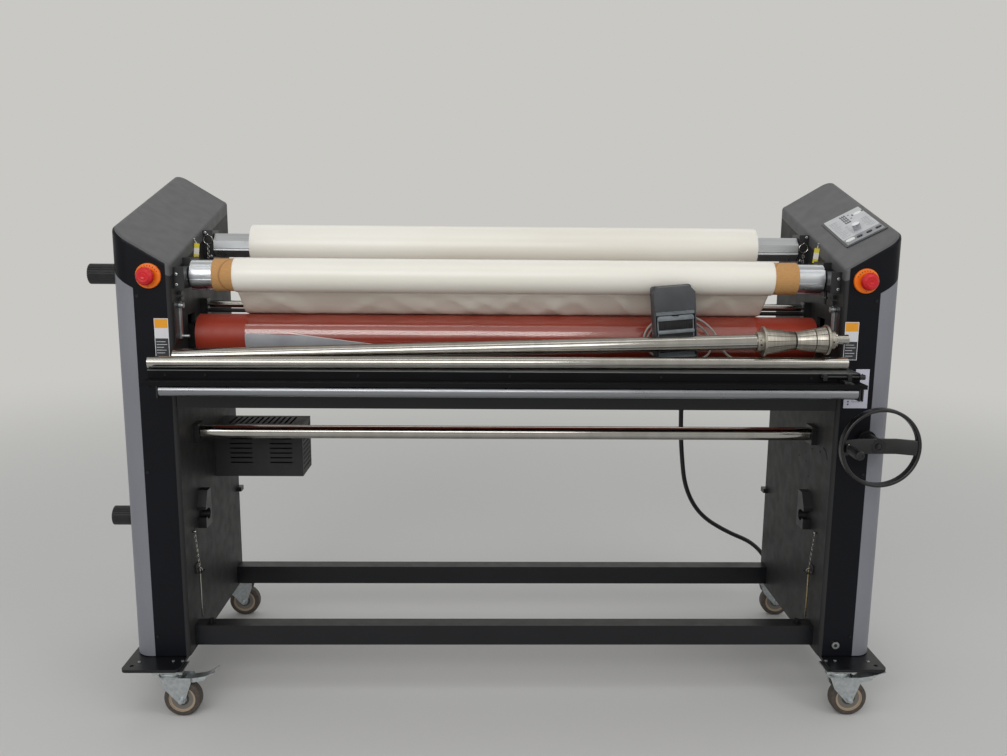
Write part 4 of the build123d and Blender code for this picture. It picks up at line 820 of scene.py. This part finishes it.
class MakeHandwheel(bpy.types.Operator):
    """Dished handwheel with a flat bar for a spoke, and its fluted folding grip"""
    bl_idname = "laminator.handwheel"
    bl_label = "Handwheel"

    def execute(self, context):
        x, z = HANDWHEEL
        bm = bmesh.new()
        turned(bm, rounded(9, 22, 4, middle=(95.5, 93)), (x, 0, z), FORWARDS, steps=96, closed=True)
        bar = [(x - 93, -100), (x - 46, -81), (x + 46, -81), (x + 93, -100), (x + 93, -92), (x + 46, -73),
               (x - 46, -73), (x - 93, -92)]
        prism(bm, bar, 38, place=lifted(z - 19), bevel=1.6)
        turned(bm, [(0, 81.6), (8.6, 81.6), (9.4, 83), (14, 83), (14.8, 82), (17.6, 82), (19, 80.6), (19, 20),
                    (0, 20)], (x, 0, z), FORWARDS)
        rod(bm, (x, -81, z), (x, -86.5, z), 7.6, bevel=0.8, segments=6)
        rod(bm, (x, -84, z), (x, -89, z), 4.4, bevel=0.8, segments=24)
        rod(bm, (x, -21, z), (x, 38, z), 10)
        pivot = x - 83
        for side in (-1, 1):
            box(bm, (pivot - 7, -104, z + side * 6), (pivot + 7, -94, z + side * 10), 0.8)
            rod(bm, (pivot, -104, z + side * 6), (pivot, -104, z + side * 10), 7, bevel=0.8)
        rod(bm, (pivot, -104, z - 11.2), (pivot, -104, z + 11.2), 2.5, bevel=0.6, material=1)
        settle("handwheel_casting", bm, ["black_enamel_casting", "polished_steel"], "handwheel",
               node="handwheel")
        wheel_grip(pivot, z)
        return {"FINISHED"}


def wheel_grip(x, z):
    """Turned grip whose sixteen flutes run between a collar and a rounded end."""
    bm = bmesh.new()
    rod(bm, (x, -104, z - 5.2), (x, -104, z + 5.2), 6.5, bevel=0.8)
    rod(bm, (x, -106, z), (x, -118, z), 5)
    turned(bm, [(0, 115), (8.4, 115), (9.2, 116), (9.5, 118.5), (11, 120), (11.4, 123), (11.8, 134), (12.3, 150),
                (12.5, 163), (12, 170), (11.3, 174), (10.2, 177), (8.4, 178), (6, 177.7), (5.4, 176.4),
                (0, 176.4)], (x, 0, z), FORWARDS, steps=96)
    for vert in bm.verts:
        off = Vector((vert.co.x - x, 0, vert.co.z - z))
        if -171 < vert.co.y < -121 and off.length > 9:
            flute = 0.5 - 0.5 * math.cos(16 * math.atan2(off.z, off.x))
            vert.co -= off.normalized() * 0.7 * flute
    settle("handwheel_grip", bm, ["moulded_black_nylon"], "handle", node="handwheel_handle")


class MakeChuck(bpy.types.Operator):
    """Core chuck: petals on a waisted cone between two flanges, with a locking collar"""
    bl_idname = "laminator.core_chuck"
    bl_label = "Core chuck"

    def execute(self, context):
        bore = 18.58
        bm = bmesh.new()
        turned(bm, [(bore, -20), (24.2, -20), (25, -19.2), (25, -6.6), (25.6, -6), (36.7, -6), (37.5, -5.2),
                    (37.5, -0.8), (36.7, 0), (bore, 0)], steps=72, closed=True)
        turned(bm, [(bore, -1), (30.4, -1), (19.6, 75), (30.4, 151), (bore, 151)], steps=72, closed=True,
               material=1)
        turned(bm, [(bore, 150), (36.7, 150), (37.5, 150.8), (37.5, 155.2), (36.7, 156), (23.8, 158), (23, 158.8),
                    (23, 171.2), (22.2, 172), (bore, 172)], steps=72, closed=True)
        count = look().petals
        petal = chuck_petal(360 / count - 2.4)
        for number in range(count):
            stamp(bm, petal, Matrix.Rotation(2 * math.pi * number / count, 4, "Z"))
        ring(bm, (0, 0, 75), (0, 0, 1), 21, 1.5, material=1, steps=48)
        for (x, y, z), radius in (((24.8, 5, -13), 2.6), ((24.6, -7, -14), 1.5), ((22.7, 3, 165), 2.2)):
            rod(bm, (x, y, z), (x + 0.6, y, z), radius, material=1, segments=16)
        settle("core_chuck_turned", bm, ["turned_cast_aluminium", "moulded_black_nylon"], "core_chuck",
               place=frame_at((630, -38.8, 996.4), FORWARDS, (0.99925, -0.01832, 0.0339)),
               node="core_chuck")
        return {"FINISHED"}


def chuck_petal(wide):
    """One petal in three lengths, parted by the groove at the waist and the one near the far flange."""
    bm = bmesh.new()
    for low, high in ((0.6, 73.2), (76.8, 121.2), (122.8, 149.4)):
        near, far = (22 + 11 * abs(along - 75) / 75 for along in (low, high))
        turned(bm, [(near - 3, low), (near - 0.5, low), (near, low + 0.5), (far, high - 0.5), (far - 0.5, high),
                    (far - 3, high)], steps=4, angle=wide)
    return to_mesh("petal", bm)


class MakeSwitch(bpy.types.Operator):
    """Foot switch stood on its heel: hooded casting, and a treadle with ribbed rubber pads"""
    bl_idname = "laminator.foot_switch"
    bl_label = "Foot switch"

    def execute(self, context):
        lean = math.radians(5)
        place = frame_at((425, 0, 932.83), (math.cos(lean), 0, math.sin(lean)), FORWARDS)
        bm = bmesh.new()
        prism(bm, rounded(104, 196, 8, middle=(0, 98)), 6, place=lifted(-44), bevel=1)
        prism(bm, [(-52, 6), (-49, 6), (-49, 178.8), (-36.8, 193), (36.8, 193), (49, 178.8), (49, 6), (52, 6),
                   (52, 180), (38, 196), (-38, 196), (-52, 180)], 45, place=lifted(-39), bevel=0.8)
        prism(bm, [(-52, 136), (52, 136), (52, 180), (38, 196), (-38, 196), (-52, 180)], 3.6, place=lifted(6),
              bevel=1)
        box(bm, (-50, 4, -39), (50, 12, 5), 1)
        box(bm, (-48.5, 125.4, -8), (48.5, 138, 4.5), 1, material=1)
        for x in (-30, 0, 30):
            box(bm, (x - 4, 131, 4), (x + 4, 136.5, 7), 0.8, material=1)
        rod(bm, (-50, 18, -2), (50, 18, -2), 3, material=1)
        settle("foot_switch_case", bm, ["grey_hammered_paint", "pale_grey_hammered_paint"], "frame",
               place=place, node="foot_switch_housing")
        treadle(place)
        return {"FINISHED"}


def treadle(place):
    """Two rubber pads, each under a raised lip of the treadle's casting, the upper lip notched."""
    bm = bmesh.new()
    box(bm, (-46, 19, 0), (46, 122, 3), 1, material=1)
    rod(bm, (-44, 18, -2), (44, 18, -2), 6, material=1)
    prism(bm, [(-46, 112), (46, 112), (46, 119), (42, 124), (10, 124), (5, 119.6), (-5, 119.6), (-10, 124),
               (-42, 124), (-46, 119)], 6.5, place=lifted(2), bevel=1, material=1)
    box(bm, (-46, 79, 2), (46, 88, 8.5), 1.6, material=1)
    for low, high in ((32, 78.5), (89, 111.5)):
        box(bm, (-43, low, 2), (43, high, 4.8), 0.8)
        for number in range(20):
            x = -40.4 + number * 80.8 / 19
            box(bm, (x - 1.1, low + 1.2, 4.4), (x + 1.1, high - 1.2, 6.4), 0.5, segments=1)
    settle("foot_switch_pedal", bm, ["ribbed_rubber_pad", "pale_grey_hammered_paint"], "foot_treadle",
           place=place, node="foot_switch_treadle")


class MakeStops(bpy.types.Operator):
    """Red mushroom buttons and the orange collars round them, with plain ticks"""
    bl_idname = "laminator.stops"
    bl_label = "Stop buttons"

    def execute(self, context):
        collars = bmesh.new()
        for side, across in ((-1, "left"), (1, "right")):
            x, z = side * STOP_BUTTON[0], STOP_BUTTON[1]
            turned(collars, [(14.6, 0), (31, 0), (31, 5.2), (30, 6.6), (28.8, 7), (18, 7), (17, 6.2), (15.4, 6.2),
                             (14.6, 5.4)], (x, 0, z), FORWARDS, steps=64, closed=True)
            for angle in (-64, -48, -32, -16, 0, 16, 32, 48, 64, 180):
                turn = Matrix.Translation((x, 0, z)) @ Matrix.Rotation(math.radians(angle), 4, "Y")
                box(collars, (-0.7, -7.25, 23.4), (0.7, -6.8, 26.6), 0.1, material=1, segments=1, turn=turn)
            button = bmesh.new()
            turned(button, [(0, 37.6), (4.6, 37.6), (5.2, 38), (6.4, 38), (7, 37.4), (11.6, 37), (12.2, 37.3),
                            (13.2, 37.1), (13.8, 36.4), (18.2, 34.2), (20.8, 31), (22, 27), (22, 23.4),
                            (21.2, 22.2), (14.4, 22), (14, 21.4), (14, 6), (0, 6)],
                   (x, 0, z), FORWARDS, steps=64)
            settle(f"{across}_stop_mushroom", button, ["red_abs"], f"{across}_stop",
                   node=f"{across}_stop_button")
        settle("stop_collars_turned", collars, ["orange_abs", "moulded_black_nylon"], "frame",
               node="stop_collars")
        return {"FINISHED"}


class MakePanel(bpy.types.Operator):
    """Control panel: printed face in a dark frame, with its display, window and plain rules"""
    bl_idname = "laminator.control_panel"
    bl_label = "Control panel"

    def execute(self, context):
        along = Vector((0, 1, ROOF_ALONG))
        normal = Vector((-ROOF_ACROSS, -ROOF_ALONG, 1))
        place = frame_at((922.5, 188, 1278.26), along.cross(normal), normal)
        panel_face(place.inverted())
        panel_print(place)
        return {"FINISHED"}


def panel_face(flat):
    """Printed polycarbonate: a pale haze inside a dark frame, with a greyer strip under the buttons."""
    sheet = Finish("printed_polycarbonate", 0.34)
    local = sheet.add("Mapping", {"Vector": sheet.place, "Location": flat.to_translation(),
                                  "Rotation": flat.to_euler(), "Scale": (1000, 1000, 1000)})
    split = sheet.add("SeparateXYZ", {"Vector": local}).node.outputs
    past = []
    for axis, half in (("X", 50), ("Y", 96)):
        off = sheet.add("Math", {0: split[axis]}, operation="ABSOLUTE")
        past.append(sheet.add("Math", {0: off, 1: half}, operation="SUBTRACT"))
    edge = sheet.add("Math", {0: past[0], 1: past[1]}, operation="MAXIMUM")
    haze = sheet.between(sheet.grain(30, 3), 0.3, 0.7, "b4b5b7", "c0c1c2")
    strip = sheet.between(split["Y"], -60, -59.6, "85868a", haze)
    colour = sheet.between(edge, -0.1, 0.1, strip, "2f3033")
    coat_nodes("control_panel", sheet.dress(colour, sheet.grain(0.7, 1), 0.02))


def panel_print(place):
    """Four figures of a display, an oval window and rules where the real panel is printed."""
    top = 3.25
    bm = bmesh.new()
    for number in range(4):
        y = 78 - 15.5 * number
        for low, high in (((-10.2, y - 5.4), (-6.8, y + 5.4)), ((-4.5, y - 5.4), (-1.1, y + 5.4)),
                          ((1.2, y - 5.4), (4.6, y + 5.4)), ((-10.2, y - 6.4), (4.6, y - 3.2))):
            box(bm, (*low, top), (*high, top + 0.2))
    window = Matrix.Translation((34, 61, top)) @ Matrix.Diagonal((1, 0.72, 1, 1))
    turns = [step / 24 * math.tau for step in range(24)]
    prism(bm, [(10 * math.cos(turn), 10 * math.sin(turn)) for turn in turns], 0.35, place=window,
          material=1)
    for side in (-1, 1):
        box(bm, (34 + side * 12, 56, top), (34 + side * 16, 66, top + 0.25))
    for y in (72, 46):
        rod(bm, (12, y, top), (12, y, top + 0.25), 2.6, material=2, segments=20)
    rules = [(-45, 66 - 9.4 * number, (22, 17, 20, 14)[number % 4]) for number in range(13)]
    for number in range(8):
        y = 10 - 8.4 * number
        left = 24 + number % 2 * 3
        rules += [(-19, y, (8, 6, 8, 5)[number % 4]), (left, y + 4.5, 44 - left)]
    for left, y, wide in rules:
        box(bm, (left, y - 0.5, top), (left + wide, y + 0.5, top + 0.15), material=2)
    settle("control_panel_print", bm, ["black_print", "white_print", "grey_print"], "frame",
           place=place)


class MakeLabels(bpy.types.Operator):
    """Plain plates where the real machine has labels: bands of colour, and no signs or words"""
    bl_idname = "laminator.labels"
    bl_label = "Plain plates"

    def execute(self, context):
        bm = bmesh.new()
        for left, bottom in ((-882, 943), (845, 945)):
            box(bm, (left, -0.3, bottom), (left + 35, 0.1, bottom + 97), 0.1, segments=1)
            box(bm, (left + 1.5, -0.45, bottom + 73), (left + 33.5, -0.2, bottom + 95.5), material=1)
            box(bm, (left + 1.5, -0.45, bottom + 1.5), (left + 33.5, -0.2, bottom + 47), material=2)
            for low, wide in ((38, 22), (31, 26), (24, 18), (17, 24), (10, 20)):
                box(bm, (left + 4, -0.55, bottom + low), (left + 4 + wide, -0.4, bottom + low + 1.2))
        prism(bm, [(881, 922), (916, 922), (916, 821), (855, 821), (855, 848), (881, 848)], 0.35,
              place=upright(), material=3)
        for x, z in ((898, 908), (898, 899), (866, 838), (866, 831)):
            rod(bm, (x, 0, z), (x, -0.5, z), 2.2, material=2, segments=20)
        for low in (842, 837):
            box(bm, (874, -0.45, low), (904, -0.3, low + 1), material=2)
        settle("front_plates", bm, ["white_vinyl", "amber_vinyl", "dark_vinyl", "lilac_grey_vinyl"], "frame")
        return {"FINISHED"}


class MakeCasters(bpy.types.Operator):
    """Fishtail brake levers, axle nuts and swivel races of the casters, and their plates' bolts"""
    bl_idname = "laminator.casters"
    bl_label = "Casters"

    def execute(self, context):
        bolts = bmesh.new()
        for side, across in ((-1, "left"), (1, "right")):
            x = side * CASTER_ACROSS
            brake_lever(x + 46, across)
            for along, y in CASTERS_BACK.items():
                caster_trim(x, y, f"{along}_{across}")
                for turn in range(4):
                    place = (x + (-33, 33)[turn % 2], y + (-23, 23)[turn // 2])
                    rod(bolts, (*place, 128.2), (*place, 122.8), 5.8, bevel=0.6, segments=6)
        settle("caster_plate_bolts", bolts, ["bright_zinc"], "frame")
        return {"FINISHED"}


def brake_lever(x, across):
    """Pressed lever: a flat tongue with turned-down sides that spreads into a notched fishtail."""
    z = 101
    bm = bmesh.new()
    path = ((-7, 5.7), (10, 5.5), (30, 8.2), (42, 10), (50, 12.2), (58, 16.4), (67, 21.8), (75, 25.6))
    halves = (17, 17, 17, 16, 13.6, 15, 18.5, 20.5)
    drawn_out(bm, chain_of_points(bm, [(x + ahead, -1, z + up) for ahead, up in path]), (0, 2, 0), 10)
    half_at = {ahead: half for (ahead, up), half in zip(path, halves)}
    for vert in bm.verts:
        ahead, share = vert.co.x - x, vert.co.y
        vert.co.y = CASTERS_BACK["front"] + share * half_at[round(ahead)]
        if ahead > 66:
            vert.co.x -= 7 * (1 - abs(share)) * (ahead - 66) / 9
        if ahead < 45:
            vert.co.z -= 9 * max(0, abs(share) - 0.8) / 0.2
            vert.co.y -= share * halves[0] * 0.16 * (abs(share) > 0.9)
    bmesh.ops.solidify(bm, geom=bm.faces[:], thickness=2.2)
    rod(bm, (x, -56, z), (x, -24, z), 5.5, bevel=0.6)
    settle(f"brake_lever_{across}", bm, ["bright_zinc"], f"brake_{across}",
           node=f"caster_brake_front_{across}")


def caster_trim(x, y, name):
    """Swivel race, and the nut and the end of the axle on both sides."""
    bm = bmesh.new()
    ring(bm, (x, y, 122.4), (0, 0, 1), 27, 2.6, steps=48)
    turned(bm, [(26.5, 108), (30.4, 110.5), (31, 114.5), (26.5, 117.5)], (x, y, 0))
    for side in (-1, 1):
        for low, high, radius, segments in ((23.5, 29, 7.4, 6), (28, 31.5, 3.8, 20)):
            rod(bm, (x + 30, y + side * low, 48), (x + 30, y + side * high, 48), radius, bevel=0.7,
                segments=segments)
    settle(f"caster_trim_{name}", bm, ["bright_zinc"], f"caster_{name}")


class MakeFittings(bpy.types.Operator):
    """Pin chains, rings and tags, screws, the plates' holes and slot, and the table's end bracket"""
    bl_idname = "laminator.fittings"
    bl_label = "Fittings"

    def execute(self, context):
        pin_chains()
        card_tags()
        socket_screws()
        plate_holes()
        idler_bracket()
        return {"FINISHED"}


def pin_chains():
    """Twisted link chains: from a screw to the shelf and its hanging pin, and under the upper rings."""
    length = look().link_length * 1000
    link = chain_link(length)
    bm = bmesh.new()
    for side in (-1, 1):
        x = side * 828
        rod(bm, (side * HALF_GAP, 70, 462), (side * 829, 70, 462), 3, bevel=0.6)
        lay_chain(bm, link, length, (side * 832, 70.5, 459), (x, 86, 352))
        rod(bm, (x, 86, 350), (x, 86, 214), 2.1, bevel=0.8, material=0 if side < 0 else 1, segments=16)
        ring(bm, (x, 84.6, 348), (0, 1, 0), 7, 1.1, sides=8)
        x, top = side * 823, 1227 if side < 0 else 1216
        rod(bm, (x, 280, top + 13.6), (x, 274, top + 13.6), 2.3, bevel=0.5, segments=16)
        ring(bm, (x, 277.9, top), (0, 1, 0), 12, 1.3, steps=40, sides=8)
        lay_chain(bm, link, length, (x, 277, top - 11), (x, 277, 1176))
    settle("pin_chains", bm, ["polished_steel", "drawn_brass"], "frame")


def chain_link(length):
    """One oval link, a bent wire of ten by six faces."""
    bm = bmesh.new()
    ring(bm, (0, 0, 0), (1, 0, 0), 2.7, 0.8, steps=10, sides=6)
    for vert in bm.verts:
        vert.co.z += math.copysign(length / 2 - 3.5, vert.co.z) if abs(vert.co.z) > 0.01 else 0
    return to_mesh("link", bm)


def lay_chain(bm, link, length, start, end):
    """Links in a straight run, each a quarter turn from the one before."""
    start, end = Vector(start), Vector(end)
    count = round((end - start).length / (length - 3.4))
    turn = (end - start).to_track_quat("Z", "Y").to_matrix().to_4x4()
    for number in range(count):
        middle = start.lerp(end, (number + 0.5) / count)
        twist = Matrix.Rotation(math.radians(20 + 90 * (number % 2)), 4, "Z")
        stamp(bm, link, Matrix.Translation(middle) @ turn @ twist)


def card_tags():
    """Card tags on threads from the side plates, banded in yellow and white."""
    bm = bmesh.new()
    for side in (-1, 1):
        turn = (Matrix.Translation((side * 830.5, 198, 1199)) @ Matrix.Rotation(side * math.radians(-38), 4, "Z")
                @ Matrix.Rotation(math.radians(6), 4, "Y"))
        for low, high, material in ((-20, -9, 1), (-9, 8, 0), (8, 20, 1)):
            box(bm, (-7, -0.3, low), (7, 0.3, high), 0.1, material=material, segments=1, turn=turn)
        for shift in (-1, 1):
            rod(bm, turn @ Vector((shift, 0, 19)), (side * 836, 200 + shift, 1230), 0.45, segments=8)
        rod(bm, (side * HALF_GAP, 200, 1230), (side * 833.5, 200, 1230), 2.4, material=2, bevel=0.4, segments=16)
    settle("card_tags", bm, ["white_card", "yellow_card", "polished_steel"], "frame")


def socket_screws():
    """Socket screws of the shaft brackets and foot plates, red strips on the brackets, and a bolt's socket. The
    black hexagons in the heads are painted shade of the sockets' recesses.
    """
    bm = bmesh.new()
    for side in (-1, 1):
        for x, y, z in ((829, 25, 1148), (829, 25, 1122), (830, 280, 1246), (816, 280, 1182)):
            rod(bm, (side * x, y + 0.3, z), (side * x, y - 2.4, z), 3.6, bevel=0.6, segments=24)
            # Black hexagon in each head: painted shade of the hex socket's recess.
            rod(bm, (side * x, y - 2.3, z), (side * x, y - 2.55, z), 1.7, material=1, segments=6)
        for x, y in ((850, -24), (874, -24), (960, -30)):
            rod(bm, (side * x, y, 139.7), (side * x, y, 142), 4.2, bevel=0.6, segments=24)
            # Black hexagon in each head: painted shade of the hex socket's recess.
            rod(bm, (side * x, y, 141.9), (side * x, y, 142.2), 2, material=1, segments=6)
        box(bm, (side * 768, 70, 1105.4), (side * 806, 92, 1107), 0.3, material=2)
    # Black hexagon on the bolt head: painted shade of its socket's recess.
    rod(bm, (880.5, -5.8, 174), (880.5, -6.15, 174), 5.2, material=1, segments=6)
    settle("bracket_screws", bm, ["bright_zinc", "moulded_black_nylon", "dark_red_vinyl"], "frame")


def plate_holes():
    """Curved slot and six holes in the right side plate, as the dark they show."""
    bm = bmesh.new()
    sideways = Matrix(((0, 0, 1, 837.2), (1, 0, 0, 0), (0, 1, 0, 0), (0, 0, 0, 1)))
    turns = [math.radians(86 + 8.2 * step) for step in range(11)]
    slot = [(66 + radius * math.cos(turn), 668 + radius * math.sin(turn))
            for radius, order in ((33.5, turns), (28.5, turns[::-1])) for turn in order]
    prism(bm, slot, 0.4, place=sideways)
    for y, z, radius in ((244, 633, 3.2), (191, 656, 2.6), (147, 676, 3.4), (186, 631, 2.6), (87, 683, 4),
                         (163, 594, 3)):
        rod(bm, (837.6, y, z), (837.25, y, z), radius, segments=20)
    settle("plate_holes", bm, ["hole_shade"], "frame")


def idler_bracket():
    """Black arm and cheek that carry the table idler's right end."""
    bm = bmesh.new()
    box(bm, (799, -139, 903), (813, -101.8, 914), 1.5)
    prism(bm, [(800, 904), (812, 904), (838, 889), (838, 868), (844, 868), (844, 893), (814, 914), (800, 914)], 5,
          place=upright(-133), bevel=1)
    box(bm, (838, -150, 868), (842, -122, 897), 1.5)
    settle("idler_end_bracket", bm, ["black_anodised"], "frame")


class LaminatorPanel(bpy.types.Panel):
    """Lists the pieces in the sidebar"""
    bl_idname = "LAMINATOR_PT_pieces"
    bl_label = "Roll Laminator"
    bl_space_type = "VIEW_3D"
    bl_region_type = "UI"
    bl_category = "Laminator"

    def draw(self, context):
        for name in LaminatorLook.__annotations__:
            self.layout.prop(context.scene.laminator_look, name)
        for step in STEPS:
            self.layout.operator(step.bl_idname)


STEPS = (MakeStage, FinishFrame, MakeCords, MakeFilm, MakeHandwheel, MakeChuck, MakeSwitch,
         MakeStops, MakePanel, MakeLabels, MakeCasters, MakeFittings)


def register():
    for held in (LaminatorLook, *STEPS, LaminatorPanel):
        bpy.utils.register_class(held)
    bpy.types.Scene.laminator_look = bpy.props.PointerProperty(type=LaminatorLook)


def unregister():
    del bpy.types.Scene.laminator_look
    for held in (LaminatorPanel, *reversed(STEPS), LaminatorLook):
        bpy.utils.unregister_class(held)


def main():
    register()
    for step in STEPS:
        group, name = step.bl_idname.split(".")
        getattr(getattr(bpy.ops, group), name)()


if __name__ == "__main__":
    main()
